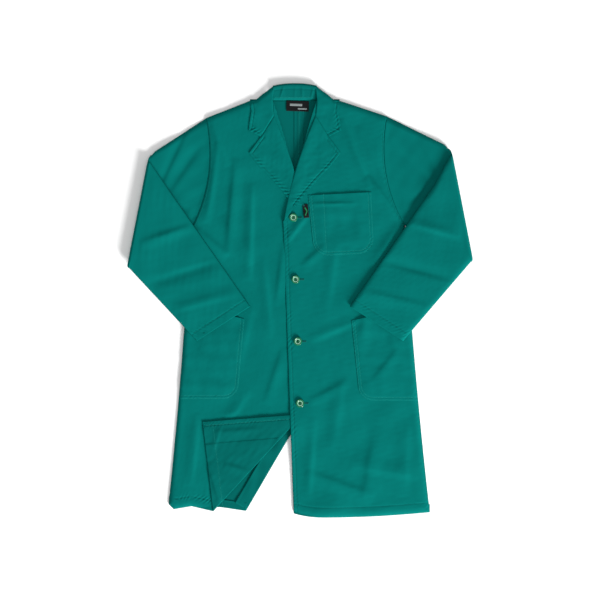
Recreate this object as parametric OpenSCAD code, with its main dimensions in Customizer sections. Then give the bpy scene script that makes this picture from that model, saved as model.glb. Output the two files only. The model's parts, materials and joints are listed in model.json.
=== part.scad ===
// Lab coat laid flat on its back, fronts up, sleeves folded over the body.
// +Y runs to the collar, +X to the wearer's left, +Z up; the floor is z = 0.
// A side is given as s: -1 is the wearer's right, +1 the wearer's left.

/* [Coat] */
// Length of the laid coat, from the collar's roll to the hem
coat_length = 1085; // [1000:1:1302]
// Width of the laid coat across both folded elbows
elbow_span = 863; // [720:1:1035]
// Width of the body from underarm to underarm
chest_w = 537; // [448:1:644]
// Width of the body at the waist
waist_w = 574; // [480:1:688]
// Width of the body at the hem
hem_w = 653; // [545:1:783]
// Width from shoulder tip to shoulder tip
shoulder_w = 451; // [400:1:500]
// Depth from the collar's roll to the underarm
underarm_depth = 362.5; // [340:0.5:400]
// How much higher the left underarm lies than the right one
lay_tilt = 16; // [0:1:20]

/* [Cloth] */
// Height that one laid ply of cloth takes up
ply = 1; // [0.8:0.1:1.2]
// Free height inside the body
body_ease = 6; // [6:0.5:9]
// Free height inside a sleeve
sleeve_ease = 6.4; // [6.4:0.1:9]
// Free height inside a pocket
pocket_ease = 4.6; // [4.6:0.1:7]
// Clearance under a piece that turns back
lift = 0.5; // [0.4:0.1:0.8]
// Width of a seam's closed edge
seam_w = 3; // [2:0.5:5]
// Width of a seam's turned allowance
allowance_w = 12; // [8:1:14]
// Depth of the body hem
hem_depth = 28; // [20:1:34]
// Depth of the cuff hem
cuff_depth = 22; // [15:1:27]

/* [Collar and lapels] */
// Height of the collar stand behind the neck
stand_h = 39.5; // [30:0.5:48]
// Half width of the neck at the gorge
neck_half = 52; // [45:1:60]
// Drop from the collar's roll to the gorge
gorge_drop = 81.5; // [75:0.5:90]
// Half width across the lapels at their tips
lapel_half = 114.5; // [100:0.5:125]
// Drop from the collar's roll to the lapel tips
lapel_drop = 174.5; // [165:0.5:185]
// Drop from the collar's roll to where the fronts cross
cross_drop = 228.5; // [220:0.5:240]

/* [Front closure] */
// Width of the front facings
facing_w = 58; // [50:1:70]
// How far the left front passes the right front's edge
overlap_w = 49; // [40:1:58]
// Diameter of a button
button_d = 21; // [17:0.5:25]
// Thickness of a button
button_h = 3.2; // [2.6:0.1:4]
// Drop from the collar's roll to the first button
first_button_drop = 335.5; // [325:0.5:345]
// Distance between buttons
button_pitch = 154.5; // [110:0.5:160]
// Distance from the left front's edge to the buttons
button_inset = 26; // [22:1:32]
// Diameter of a button's thread shank
shank_d = 2.6; // [2:0.1:3.2]

/* [Pockets] */
// Width of the chest pocket
chest_pocket_w = 158; // [130:1:165]
// Depth of the chest pocket
chest_pocket_h = 153; // [125:1:180]
// Width of the pen slot in the chest pocket
pen_slot_w = 38; // [30:1:45]
// Depth of a lower pocket
lower_pocket_h = 218; // [180:1:262]
// Distance from the centre line to a lower pocket
lower_pocket_in = 131; // [125:1:150]
// Radius of the pockets' rounded corners
pocket_corner_r = 38; // [25:1:45]
// Width of the pockets' turned and stitched edge
pocket_edge_w = 8; // [6:1:10]

/* [Labels] */
// Width of the neck label
neck_label_w = 56; // [46:1:64]
// Height of the neck label
neck_label_h = 26; // [21:1:31]
// Length of the flag label
flag_label_l = 34; // [28:1:40]
// Width of the flag label
flag_label_w = 13; // [10:1:15]
// Thickness of the labels
label_t = 0.8; // [0.6:0.1:1]

/* [Hidden] */

cloth = [0, 0.49, 0.45];
cloth_inside = [0, 0.44, 0.41];
button_green = [0, 0.35, 0.22];
label_black = [0.06, 0.06, 0.07];
reach = 3000;
button_count = 4;

// Heights of the layers
right_inner_z = ply + body_ease;
function inner_z(s) = right_inner_z + (s < 0 ? 0 : 2 * ply);
function front_z(s) = inner_z(s) + ply;
function front_top(s) = front_z(s) + ply;
function pocket_z(s) = front_top(s) + pocket_ease;
function forearm_z(s) = pocket_z(s) + ply + lift;
forearm_h = sleeve_ease + 2 * ply;
function lapel_z(s) = front_top(s) + lift;
lapel_t = 2 * ply;
turn_gap = lapel_t + 2 * lift;

// Lines on the plan
top_y = coat_length / 2;
centre_top = -9;
centre_hem = -2;
function centre_x(y) = centre_hem + (centre_top - centre_hem) * (y + top_y) / coat_length;
neck_x = -13;
neckline_y = top_y - stand_h;
back_seam_x = -3;
// How deep the armhole cuts in, and how wide the vent's facings are
armhole_in = 72;
vent_facing_w = 35;
// How far the turned-back corner stops short of the left front
corner_short = 14;
// How far the left facing is set back at the hem
facing_back = 0.2;

function mid(a, b, t) = a + (b - a) * t;
function unit(v) = v / norm(v);
function left_normal(a, b) = [-unit(b - a).y, unit(b - a).x];
function reversed(pts) = [for (i = [len(pts) - 1 : -1 : 0]) pts[i]];
// Quadratic curve from a to b that leans towards c; b itself is left to the next stretch.
function bend(a, c, b, steps = 12) =
    [for (i = [0 : steps - 1]) let (t = i / steps) mid(mid(a, c, t), mid(c, b, t), t)];
// A line moved sideways by d, to its left when d is positive.
function shifted(pts, d) = [for (i = [0 : len(pts) - 1])
    let (before = pts[max(i - 1, 0)], after = pts[min(i + 1, len(pts) - 1)])
    pts[i] + d * left_normal(before, after)];
// A line made longer at both ends by d.
function stretched(pts, d) = let (n = len(pts)) concat(
    [pts[0] + d * unit(pts[0] - pts[1])],
    [for (i = [1 : 1 : n - 2]) pts[i]],
    [pts[n - 1] + d * unit(pts[n - 1] - pts[n - 2])]);
function foot_on(p, a, b) = a + unit(b - a) * ((p - a) * unit(b - a));

// Body points on side s
function shoulder(s) = [centre_x(458) + s * shoulder_w / 2, top_y - 84.5 + s * 2];
function neck_point(s) = [neck_x + s * 112, top_y - 43.5];
function underarm(s) = [centre_x(180) + s * chest_w / 2, top_y - underarm_depth + s * lay_tilt / 2];
function waist(s) = [centre_x(-160) + s * waist_w / 2, -160];
function hem_corner(s) = [centre_hem + s * hem_w / 2, -top_y + (s < 0 ? 34 : 13.5)];
function side_line(s) = concat(bend(underarm(s), waist(s), hem_corner(s)), [hem_corner(s)]);
function armhole_line(s) = concat(
    bend(underarm(s), [underarm(s).x - s * armhole_in, mid(underarm(s), shoulder(s), 0.45).y], shoulder(s)),
    [shoulder(s)]);

// Sleeve points on side s
function fold_low(s) = [s * elbow_span / 2, underarm(s).y - 85];
function fold_high(s) = fold_low(s) + [-s * 52, 266];
function over_line(s) = [shoulder(s), fold_high(s) + [-s * 18, 20], fold_high(s)];
function under_line(s) = [underarm(s), fold_low(s)];
function cuff_high(s) = [fold_high(s).x - s * 255, top_y - underarm_depth - 195];
function cuff_low(s) = cuff_high(s) + [s * 132.5, -86];
function inner_line(s) = let (a = fold_high(s), b = cuff_high(s), bow = s < 0 ? 1 : 8)
    [a, mid(a, b, 0.2) + s * bow * left_normal(a, b), b];
function lower_line(s) = [fold_low(s), cuff_low(s)];

// Front edges, roll lines and the turned-back corner
cross_point = [neck_x - 2, top_y - cross_drop];
gorge_top_y = top_y - gorge_drop;
function gorge_top(s) = [neck_x + s * neck_half, gorge_top_y];
left_break = [-42, top_y - 347.5];
left_edge_foot = [-16, -top_y + 10.5];
function left_edge_x(y) = mid(left_break, left_edge_foot,
    (left_break.y - y) / (left_break.y - left_edge_foot.y)).x;
right_edge_x = left_break.x + overlap_w + 1;
right_break = [right_edge_x, cross_point.y - 67];
hem_fold = [-217, -top_y + 16.5];
edge_fold = [right_edge_x, -top_y + 259.5];
right_corner = [right_edge_x, -top_y + 7.5];
function roll_axis(s) = s < 0 ? [gorge_top(-1), cross_point] : [gorge_top(1), left_break];
function lapel_break(s) = s < 0 ? foot_on(cross_point, roll_axis(-1)[0], roll_axis(-1)[1])
    : mid(gorge_top(1), left_break, 0.72);

function left_front_outline() = concat(
    bend(gorge_top(1), [-20, top_y - 216.5], left_break),
    [left_break],
    bend(left_edge_foot, [20, -top_y], [56, -top_y]),
    bend([56, -top_y], [190, -top_y], hem_corner(1)),
    [for (i = [len(side_line(1)) - 1 : -1 : 1]) side_line(1)[i]],
    [for (i = [0 : len(armhole_line(1)) - 1]) armhole_line(1)[i]],
    [neck_point(1), [neck_x + neck_half + 2, top_y - 43.5]]);

function right_front_outline() = concat(
    [gorge_top(-1), cross_point, right_break, edge_fold, hem_fold,
     hem_fold + [-54, 12], hem_corner(-1) + [13, -13]],
    reversed(side_line(-1)),
    [for (i = [1 : len(armhole_line(-1)) - 1]) armhole_line(-1)[i]],
    [neck_point(-1), [neck_x - neck_half - 2, top_y - 43.5]]);

vent_top = [back_seam_x, -top_y + 242.5];
function vent_foot(s) = s < 0 ? [-135, -top_y + 16.5] : [12, -top_y + 10.5];
function back_outline(s) = concat(
    [[back_seam_x, neckline_y], vent_top, vent_foot(s), vent_foot(s) + [s * 60, s < 0 ? 9 : 2]],
    reversed(side_line(s)),
    [for (i = [1 : len(armhole_line(s)) - 1]) armhole_line(s)[i]],
    [neck_point(s), [neck_point(s).x, neckline_y]]);

// Plan shapes
module plate(z, h) {
    translate([0, 0, z]) linear_extrude(h) children();
}
module band(pts, d) {
    polygon(concat(pts, reversed(shifted(pts, d))));
}
// Everything on the left of the line a to b, from gap onwards
module left_of(a, b, gap = 0) {
    along = unit(b - a) * reach;
    away = left_normal(a, b);
    polygon([a - along + away * gap, a + along + away * gap,
             a + along + away * reach, a - along + away * reach]);
}
module side_band(s) {
    band(side_line(s), -s * seam_w);
}
module front_hem_strip(s) {
    base = s < 0 ? hem_corner(s) + [13, -13] : [56, -top_y];
    end = s < 0 ? hem_fold : hem_corner(s);
    difference() {
        intersection() {
            polygon(s < 0 ? right_front_outline() : left_front_outline());
            translate([-reach / 2, min(base.y, end.y) + hem_depth - reach]) square(reach);
        }
        side_band(s);
    }
}
module left_facing_strip() {
    polygon([left_break, left_edge_foot + [facing_back, 0], left_edge_foot + [facing_w, 0],
             left_break + [facing_w, 0]]);
}
module folded_over() {
    // The unfolded corner, turned over about the line from hem_fold to edge_fold
    n = left_normal(hem_fold, edge_fold);
    intersection() {
        translate(hem_fold) mirror([n.x, n.y, 0]) translate(-hem_fold) children();
        translate([-reach, -reach]) square([reach + left_edge_x(edge_fold.y) - corner_short, 2 * reach]);
    }
}
module vent_strip(s) {
    intersection() {
        polygon(back_outline(s));
        band([mid(vent_top, vent_foot(s), 0.03), vent_foot(s) - [0, 30]], s * vent_facing_w);
        translate([-reach, -reach]) square([2 * reach, reach + vent_top.y - 6]);
    }
}

// Body
module back_panel(s) {
    color(cloth_inside) plate(0, ply) polygon(back_outline(s));
}
module back_panel_right() {
    back_panel(-1);
}
module back_panel_left() {
    back_panel(1);
}
module centre_back_seam() {
    seam_top = neckline_y - neck_label_h - 7;
    color(cloth_inside) plate(ply, ply)
        translate([back_seam_x - allowance_w, vent_top.y + 1])
            square([2 * allowance_w, seam_top - vent_top.y - 1]);
}
module vent_facing_right() {
    color(cloth_inside) plate(ply, ply) vent_strip(-1);
}
module vent_facing_left() {
    color(cloth_inside) plate(ply, ply) vent_strip(1);
}
module hem_back(s) {
    color(cloth_inside) plate(ply, ply) difference() {
        intersection() {
            polygon(back_outline(s));
            translate([-reach / 2, hem_corner(s).y + hem_depth - 8 - reach]) square(reach);
        }
        vent_strip(s);
        side_band(s);
    }
}
module hem_back_right() {
    hem_back(-1);
}
module hem_back_left() {
    hem_back(1);
}
module side_seam(s) {
    color(cloth) plate(ply, front_z(s) - ply) side_band(s);
}
module side_seam_right() {
    side_seam(-1);
}
module side_seam_left() {
    side_seam(1);
}
module shoulder_seam(s) {
    color(cloth) plate(ply, front_z(s) - ply)
        band([mid(shoulder(s), neck_point(s), 0.01), mid(shoulder(s), neck_point(s), 0.99)],
             s * seam_w);
}
module shoulder_seam_right() {
    shoulder_seam(-1);
}
module shoulder_seam_left() {
    shoulder_seam(1);
}
module armhole_seam(s) {
    line = [for (i = [2 : len(armhole_line(s)) - 3]) armhole_line(s)[i]];
    for (z = [ply, inner_z(s)])
        color(cloth_inside) plate(z, ply)
            band(shifted(line, allowance_w / 3), -2 * allowance_w / 3);
}
module armhole_seam_right() {
    armhole_seam(-1);
}
module armhole_seam_left() {
    armhole_seam(1);
}

// Fronts
module front_panel_right() {
    color(cloth) plate(front_z(-1), ply) polygon(right_front_outline());
}
module front_panel_left() {
    color(cloth) difference() {
        plate(front_z(1), ply) polygon(left_front_outline());
        buttonholes(front_z(1) - 1, ply + 2, slot_w);
    }
}
module front_facing_right() {
    color(cloth_inside) plate(inner_z(-1), ply) intersection() {
        polygon(right_front_outline());
        translate([right_edge_x - facing_w, -reach]) square([facing_w, reach + right_break.y - 12]);
    }
}
module front_facing_left() {
    color(cloth_inside) difference() {
        plate(inner_z(1), ply) left_facing_strip();
        buttonholes(inner_z(1) - 1, ply + 2, slot_w);
    }
}
module hem_front_right() {
    color(cloth_inside) plate(inner_z(-1), ply) front_hem_strip(-1);
}
module hem_front_left() {
    color(cloth_inside) plate(inner_z(1), ply) difference() {
        front_hem_strip(1);
        left_facing_strip();
    }
}

// Sleeves
// A flattened tube between two edges, open at both ends; inward is the sign that
// moves edge_a into the sleeve.
module sleeve_tube(z, h, edge_a, edge_b, end, inward) {
    past = 60;
    difference() {
        plate(z, h) polygon(concat(edge_a, reversed(edge_b), end));
        plate(z + ply, h - 2 * ply)
            polygon(concat(stretched(shifted(edge_a, inward * seam_w), past),
                           reversed(stretched(shifted(edge_b, -inward * seam_w), past))));
    }
}
module sleeve_upper(s) {
    armhole = [for (i = [1 : len(armhole_line(s)) - 2]) armhole_line(s)[i]];
    color(cloth) difference() {
        sleeve_tube(0, front_top(s), over_line(s), under_line(s), armhole, -s);
        fold_clearance(s);
    }
}
// Keeps both ends of the folded sleeve clear of the fold line
module fold_clearance(s) {
    line = stretched([fold_high(s), fold_low(s)], 20);
    plate(-1, forearm_z(s) + forearm_h + 2)
        polygon(concat(shifted(line, s * 20), reversed(shifted(line, -s * lift))));
}
module sleeve_upper_right() {
    sleeve_upper(-1);
}
module sleeve_upper_left() {
    sleeve_upper(1);
}
// The forearm's cloth above, its cloth beneath and the closed edges between them
module forearm_plan(s) {
    polygon(concat(inner_line(s), reversed(lower_line(s))));
}
module forearm_ply(s, z) {
    color(cloth) difference() {
        plate(z, ply) forearm_plan(s);
        fold_clearance(s);
    }
}
module sleeve_forearm(s) {
    forearm_ply(s, forearm_z(s) + forearm_h - ply);
}
module forearm_under(s) {
    forearm_ply(s, forearm_z(s));
}
module edge_band(pts, d) {
    polygon(concat(stretched(pts, seam_w), reversed(stretched(shifted(pts, d), seam_w))));
}
module forearm_edges(s) {
    color(cloth) difference() {
        plate(forearm_z(s) + ply, sleeve_ease) intersection() {
            forearm_plan(s);
            union() {
                edge_band(inner_line(s), s * seam_w);
                edge_band(lower_line(s), -s * seam_w);
            }
        }
        fold_clearance(s);
    }
}
module sleeve_forearm_right() {
    sleeve_forearm(-1);
}
module sleeve_forearm_left() {
    sleeve_forearm(1);
}
module forearm_under_right() {
    forearm_under(-1);
}
module forearm_under_left() {
    forearm_under(1);
}
module forearm_edges_right() {
    forearm_edges(-1);
}
module forearm_edges_left() {
    forearm_edges(1);
}
module cuff_hem(s) {
    for (z = [forearm_z(s) + ply, forearm_z(s) + forearm_h - 2 * ply])
        color(cloth_inside) plate(z, ply) intersection() {
            polygon(concat(shifted(inner_line(s), s * seam_w),
                           reversed(shifted(lower_line(s), -s * seam_w))));
            band([cuff_high(s), cuff_low(s)], s * cuff_depth);
        }
}
module cuff_hem_right() {
    cuff_hem(-1);
}
module cuff_hem_left() {
    cuff_hem(1);
}

// Turned-back corner of the right front
module corner_plan() {
    polygon([edge_fold, right_corner, hem_fold]);
}
module corner_facing_plan() {
    intersection() {
        corner_plan();
        translate([right_edge_x - facing_w, -reach]) square([facing_w, 2 * reach]);
    }
}
module front_corner() {
    color(cloth_inside) plate(front_top(-1) + lift, ply) folded_over() corner_plan();
}
module front_corner_facing() {
    color(cloth_inside) plate(front_top(-1) + lift + ply, ply) folded_over() corner_facing_plan();
}
module front_corner_hem() {
    color(cloth_inside) plate(front_top(-1) + lift + ply, ply) folded_over() difference() {
        intersection() {
            corner_plan();
            band([hem_fold, right_corner], hem_depth);
        }
        corner_facing_plan();
    }
}

// Collar and lapels
function collar_outline(s) = [gorge_top(s), [neck_x + s * 54, top_y - 45], [neck_x + s * 51, top_y - 6.5],
    [neck_x + s * 82, top_y - 28], [neck_x + s * 97, top_y - 41], [neck_x + s * 112, top_y - 44.5],
    [neck_x + s * 108.5, top_y - 69.5], [neck_x + s * 116, top_y - 117.5], notch(s)];
function notch(s) = [neck_x + s * (lapel_half - 30), top_y - lapel_drop + 41];
right_lapel_foot = [-28, top_y - 292];
function lapel_tip(s) = [neck_x + s * lapel_half, top_y - lapel_drop];
function lapel_outline(s) = concat(
    [gorge_top(s), notch(s), lapel_tip(s)],
    bend(lapel_tip(s) + [-s * 28.5, -36], [neck_x + s * 35, lapel_tip(s).y - 86],
        s < 0 ? right_lapel_foot : left_break, 8),
    s < 0 ? [right_lapel_foot, cross_point] : [left_break]);
module moving_side(s, gap = 0) {
    a = roll_axis(s)[0];
    b = roll_axis(s)[1];
    if (s < 0) left_of(b, a, gap);
    else left_of(a, b, gap);
}
function across(s) = left_normal(roll_axis(s)[0], roll_axis(s)[1]);
module above_break(s) {
    left_of(lapel_break(s), lapel_break(s) + across(s));
}
module below_break(s) {
    left_of(lapel_break(s) + across(s), lapel_break(s), lift);
}
module clear_of_left_front() {
    difference() {
        children();
        translate([-turn_gap, 0]) polygon(left_front_outline());
    }
}
module lapel_plan(s) {
    if (s < 0) clear_of_left_front() polygon(lapel_outline(s));
    else polygon(lapel_outline(s));
}
module lapel(s) {
    color(cloth) plate(lapel_z(s), lapel_t) intersection() {
        lapel_plan(s);
        above_break(s);
    }
}
module lapel_right() {
    lapel(-1);
}
module lapel_left() {
    lapel(1);
}
module lapel_foot(s) {
    color(cloth) plate(front_top(s), lapel_t) intersection() {
        lapel_plan(s);
        below_break(s);
    }
}
module lapel_break_right() {
    lapel_foot(-1);
}
module lapel_break_left() {
    lapel_foot(1);
}
module collar_end(s) {
    color(cloth) plate(lapel_z(s), lapel_t) intersection() {
        polygon(collar_outline(s));
        moving_side(s);
    }
}
module collar_end_right() {
    collar_end(-1);
}
module collar_end_left() {
    collar_end(1);
}
roll_h = lapel_z(1) + ply;
module collar_back() {
    r = roll_h / 2;
    roll_y = top_y - r;
    foot_y = neckline_y - 3.5;
    hollow_y = neckline_y + 5;
    back_edge_y = neckline_y + 0.3;
    slope = (roll_h - 2 * ply) / (roll_y - neckline_y);
    color(cloth) {
        translate([neck_x - neck_half - 1, 0, 0]) rotate([90, 0, 90])
            linear_extrude(2 * neck_half + 2) difference() {
                polygon(concat([[back_edge_y, 0]],
                    [for (a = [-90 : 10 : 90]) [roll_y + r * cos(a), r + r * sin(a)]],
                    [[neckline_y, 2 * ply], [foot_y, 2 * ply], [foot_y, ply],
                     [back_edge_y, ply]]));
                polygon(concat([[hollow_y, ply]],
                    [for (a = [-90 : 10 : 90])
                        [roll_y + (r - ply) * cos(a), r + (r - ply) * sin(a)]],
                    [[hollow_y, 2 * ply + slope * (hollow_y - neckline_y) - 1.1 * ply]]));
            }
        for (s = [-1, 1])
            plate(lapel_z(s), lapel_t) difference() {
                polygon(collar_outline(s));
                moving_side(s, -turn_gap);
            }
    }
}

// Pockets
function round_corner(p, r, a0, a1) = [for (i = [0 : 8]) let (a = a0 + (a1 - a0) * i / 8)
    p + r * [cos(a), sin(a)]];
chest_pocket_at = [20, top_y - 279.5];
chest_pocket_turn = 2.9;
function chest_pocket_outline(inset) = let (w = chest_pocket_w, h = chest_pocket_h,
    r = pocket_corner_r - inset) concat(
    [[inset, 0]],
    round_corner([6 + pocket_corner_r, pocket_corner_r - h], r, 180, 270),
    round_corner([w - pocket_corner_r, pocket_corner_r - h], r, 270, 360),
    [[w - inset, 0]]);
module on_chest() {
    translate(chest_pocket_at) rotate(chest_pocket_turn) children();
}
module chest_pocket() {
    color(cloth) plate(pocket_z(1), ply) on_chest() polygon(chest_pocket_outline(0));
}
module chest_pocket_edge() {
    color(cloth_inside) plate(front_top(1), pocket_ease) on_chest() {
        difference() {
            polygon(chest_pocket_outline(0));
            polygon(concat(
                [[pocket_edge_w, 1]], chest_pocket_outline(pocket_edge_w),
                [[chest_pocket_w - pocket_edge_w, 1]]));
        }
        translate([pen_slot_w, -chest_pocket_h + pocket_edge_w / 2])
            square([2, chest_pocket_h - pocket_edge_w / 2]);
    }
}
function pocket_mouth_y(s) = top_y - 572.5 - s * 2;
function lower_pocket_outline(s, inset) = let (
    top = pocket_mouth_y(s), low = top - lower_pocket_h,
    inner_top = [centre_x(top) + s * (lower_pocket_in + inset), top],
    inner_low = [centre_x(low) + s * (lower_pocket_in + 18 + inset), low + pocket_corner_r],
    r = pocket_corner_r - inset,
    corner = [centre_x(low) + s * (lower_pocket_in + 18 + pocket_corner_r), low + pocket_corner_r])
    concat([inner_top],
        [for (i = [0 : 8]) let (a = 90 * i / 8) corner + r * [-s * cos(a), -sin(a)]],
        [[s * reach / 2, low + inset], [s * reach / 2, top]]);
module lower_pocket_plan(s, inset, side_inset) {
    intersection() {
        polygon(lower_pocket_outline(s, inset));
        translate([-s * side_inset, 0]) polygon(side_fill(s));
    }
}
function side_fill(s) = concat([[0, underarm(s).y]], side_line(s), [[0, hem_corner(s).y]]);
module lower_pocket(s) {
    color(cloth) plate(pocket_z(s), ply) lower_pocket_plan(s, 0, 0.5);
}
module lower_pocket_edge(s) {
    color(cloth_inside) plate(front_top(s), pocket_ease) difference() {
        lower_pocket_plan(s, 0, 0.5);
        union() {
            lower_pocket_plan(s, pocket_edge_w, 0.5 + pocket_edge_w);
            intersection() {
                translate([0, 1]) lower_pocket_plan(s, pocket_edge_w, 0.5 + pocket_edge_w);
                translate([-reach / 2, pocket_mouth_y(s) - 5]) square(reach);
            }
        }
    }
}
module lower_pocket_right() {
    lower_pocket(-1);
}
module lower_pocket_right_edge() {
    lower_pocket_edge(-1);
}
module lower_pocket_left() {
    lower_pocket(1);
}
module lower_pocket_left_edge() {
    lower_pocket_edge(1);
}

// Labels
module neck_label() {
    color(label_black) plate(ply, label_t)
        translate([neck_x + 7 - neck_label_w / 2, neckline_y - 4 - neck_label_h])
            square([neck_label_w, neck_label_h]);
}
module flag_label() {
    color(label_black) plate(front_top(1) + 0.3, label_t) on_chest()
        translate([0, -22 - flag_label_l]) rotate(3)
            translate([-flag_label_w, 0]) square([flag_label_w, flag_label_l]);
}

// Buttons
slot_w = shank_d + 0.8;
slot_l = button_d + 3;
button_z = front_top(1) + 1.2;
thread_pitch = 3.4;
thread_d = 1.2;
hole_d = thread_d + 0.8;
dish_d = button_d * 0.62;
dish_h = 1.1;
function button_y(i) = top_y - first_button_drop - (i - 1) * button_pitch;
function button_at(i) = [left_edge_x(button_y(i)) + button_inset, button_y(i)];
module slot(w, l, h) {
    for (x = [0, l - slot_w])
        translate([x, 0, 0]) cylinder(h = h, d = w, $fn = 48);
    translate([0, -w / 2, 0]) cube([l - slot_w, w, h]);
}
module buttonholes(z, h, w) {
    for (i = [1 : button_count])
        translate([button_at(i).x, button_at(i).y, z]) slot(w, slot_l, h);
}
module buttonhole_stitching() {
    color(cloth) difference() {
        buttonholes(front_top(1), 0.4, slot_w + 4);
        buttonholes(front_top(1) - 1, 3, slot_w);
    }
}
module thread_places() {
    for (x = [-1, 1])
        for (y = [-1, 1])
            translate([x * thread_pitch / 2, y * thread_pitch / 2, 0]) children();
}
module button(i) {
    edge = 0.8;
    color(button_green) translate([button_at(i).x, button_at(i).y, button_z]) difference() {
        union() {
            cylinder(h = edge, d1 = button_d - 3, d2 = button_d, $fn = 64);
            translate([0, 0, edge]) cylinder(h = button_h - 2 * edge, d = button_d, $fn = 64);
            translate([0, 0, button_h - edge])
                cylinder(h = edge, d1 = button_d, d2 = button_d - 2, $fn = 64);
        }
        translate([0, 0, button_h - dish_h]) cylinder(h = dish_h + 1, d = dish_d, $fn = 64);
        thread_places() translate([0, 0, -1]) cylinder(h = button_h + 2, d = hole_d, $fn = 32);
    }
}
module button_thread(i) {
    pad_h = 0.4;
    dish_z = button_z + button_h - dish_h;
    color(button_green) translate([button_at(i).x, button_at(i).y, 0]) {
        translate([0, 0, front_top(-1)])
            cylinder(h = button_z - pad_h - front_top(-1), d = shank_d, $fn = 32);
        translate([0, 0, button_z - pad_h])
            cylinder(h = pad_h, d = thread_pitch * 1.5 + thread_d, $fn = 48);
        thread_places() translate([0, 0, button_z - pad_h])
            cylinder(h = dish_z + thread_d / 2 - button_z + pad_h, d = thread_d, $fn = 24);
        for (y = [-1, 1])
            translate([-thread_pitch / 2, y * thread_pitch / 2 - thread_d / 3, dish_z])
                cube([thread_pitch, thread_d * 2 / 3, thread_d / 2]);
    }
}
module button_1() {
    button(1);
}
module button_thread_1() {
    button_thread(1);
}
module button_2() {
    button(2);
}
module button_thread_2() {
    button_thread(2);
}
module button_3() {
    button(3);
}
module button_thread_3() {
    button_thread(3);
}
module button_4() {
    button(4);
}
module button_thread_4() {
    button_thread(4);
}

back_panel_right();
back_panel_left();
centre_back_seam();
vent_facing_right();
vent_facing_left();
hem_back_right();
hem_back_left();
side_seam_right();
side_seam_left();
shoulder_seam_right();
shoulder_seam_left();
front_panel_right();
front_panel_left();
front_facing_right();
front_facing_left();
hem_front_right();
hem_front_left();
armhole_seam_right();
armhole_seam_left();
sleeve_upper_right();
sleeve_upper_left();
sleeve_forearm_right();
sleeve_forearm_left();
forearm_under_right();
forearm_under_left();
forearm_edges_right();
forearm_edges_left();
cuff_hem_right();
cuff_hem_left();
front_corner();
front_corner_facing();
front_corner_hem();
collar_back();
collar_end_right();
collar_end_left();
lapel_right();
lapel_left();
lapel_break_right();
lapel_break_left();
chest_pocket();
chest_pocket_edge();
lower_pocket_right();
lower_pocket_right_edge();
lower_pocket_left();
lower_pocket_left_edge();
neck_label();
flag_label();
buttonhole_stitching();
button_1();
button_2();
button_3();
button_4();
button_thread_1();
button_thread_2();
button_thread_3();
button_thread_4();
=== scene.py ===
"""A lab coat laid flat on its back: its cloth, folds, stitching, buttons and labels, on a white floor."""

import json
import math

import bpy
import numpy as np
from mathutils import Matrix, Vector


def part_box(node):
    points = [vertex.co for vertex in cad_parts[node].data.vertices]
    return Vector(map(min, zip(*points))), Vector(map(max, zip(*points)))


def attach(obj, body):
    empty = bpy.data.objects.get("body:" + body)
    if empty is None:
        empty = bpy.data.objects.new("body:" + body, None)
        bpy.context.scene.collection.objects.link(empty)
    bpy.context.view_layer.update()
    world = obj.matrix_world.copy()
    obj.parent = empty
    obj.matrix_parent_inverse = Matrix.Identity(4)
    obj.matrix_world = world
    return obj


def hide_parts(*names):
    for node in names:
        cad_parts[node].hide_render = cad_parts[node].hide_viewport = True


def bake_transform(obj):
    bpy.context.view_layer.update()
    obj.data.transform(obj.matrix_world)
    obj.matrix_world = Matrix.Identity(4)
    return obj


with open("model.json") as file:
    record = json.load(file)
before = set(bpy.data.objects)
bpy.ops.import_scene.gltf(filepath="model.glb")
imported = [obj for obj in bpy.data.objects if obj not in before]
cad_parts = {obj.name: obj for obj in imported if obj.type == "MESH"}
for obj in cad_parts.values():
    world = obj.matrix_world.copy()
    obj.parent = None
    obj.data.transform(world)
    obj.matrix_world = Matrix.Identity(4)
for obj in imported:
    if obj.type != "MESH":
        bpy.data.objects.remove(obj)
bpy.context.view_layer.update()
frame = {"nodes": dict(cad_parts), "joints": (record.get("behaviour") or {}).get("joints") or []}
joints = {j["name"]: j for j in frame["joints"]}
scene = bpy.context.scene
SIDES = {-1: "right", 1: "left"}  # the wearer's sides, by the sign of x
CLOTH = 0.0006  # thickness of one ply
FOLD_GAIN = 2.0  # how much every soft fold is deepened
LEAST_SHARE = 0.31  # the least share of its box that declare() gives as a sheet's area
SHEETS = []  # the pieces listed for declare() at the end: the piece, how it is held, and its cut if it isn't as it lies


# ---------------------------------------------------------------- lines from the CAD parts
def plan(node):
    """The outline of a part's top face, counter-clockwise: the edges that only one upward triangle has."""
    mesh = frame["nodes"][node].data
    mesh.calc_loop_triangles()
    co = np.zeros(len(mesh.vertices) * 3)
    mesh.vertices.foreach_get("co", co)
    triangles = np.zeros(len(mesh.loop_triangles) * 3, int)
    mesh.loop_triangles.foreach_get("vertices", triangles)
    keys, index = np.unique(co.reshape(-1, 3).round(6), axis=0, return_inverse=True)
    triangles = index.reshape(-1)[triangles.reshape(-1, 3)]
    top = (np.abs(keys[triangles][:, :, 2] - keys[:, 2].max()) < 2e-5).all(axis=1)
    triangles = triangles[top]
    edges = np.concatenate([triangles[:, [0, 1]], triangles[:, [1, 2]], triangles[:, [2, 0]]])
    edges = edges[edges[:, 0] != edges[:, 1]]
    code, back = edges[:, 0] * len(keys) + edges[:, 1], edges[:, 1] * len(keys) + edges[:, 0]
    rim = edges[~np.isin(code, back)]
    follow = dict(zip(rim[:, 0].tolist(), rim[:, 1].tolist()))
    longest = []
    while follow:
        start, after = follow.popitem()
        loop = [start]
        while after in follow:
            loop.append(after)
            after = follow.pop(after)
        longest = max(longest, loop, key=len)
    return keys[longest][:, :2]


def nearest(loop, point):
    """The index of the corner of a loop that is nearest a point."""
    return int(np.linalg.norm(loop - np.asarray(point)[:2], axis=1).argmin())


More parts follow.
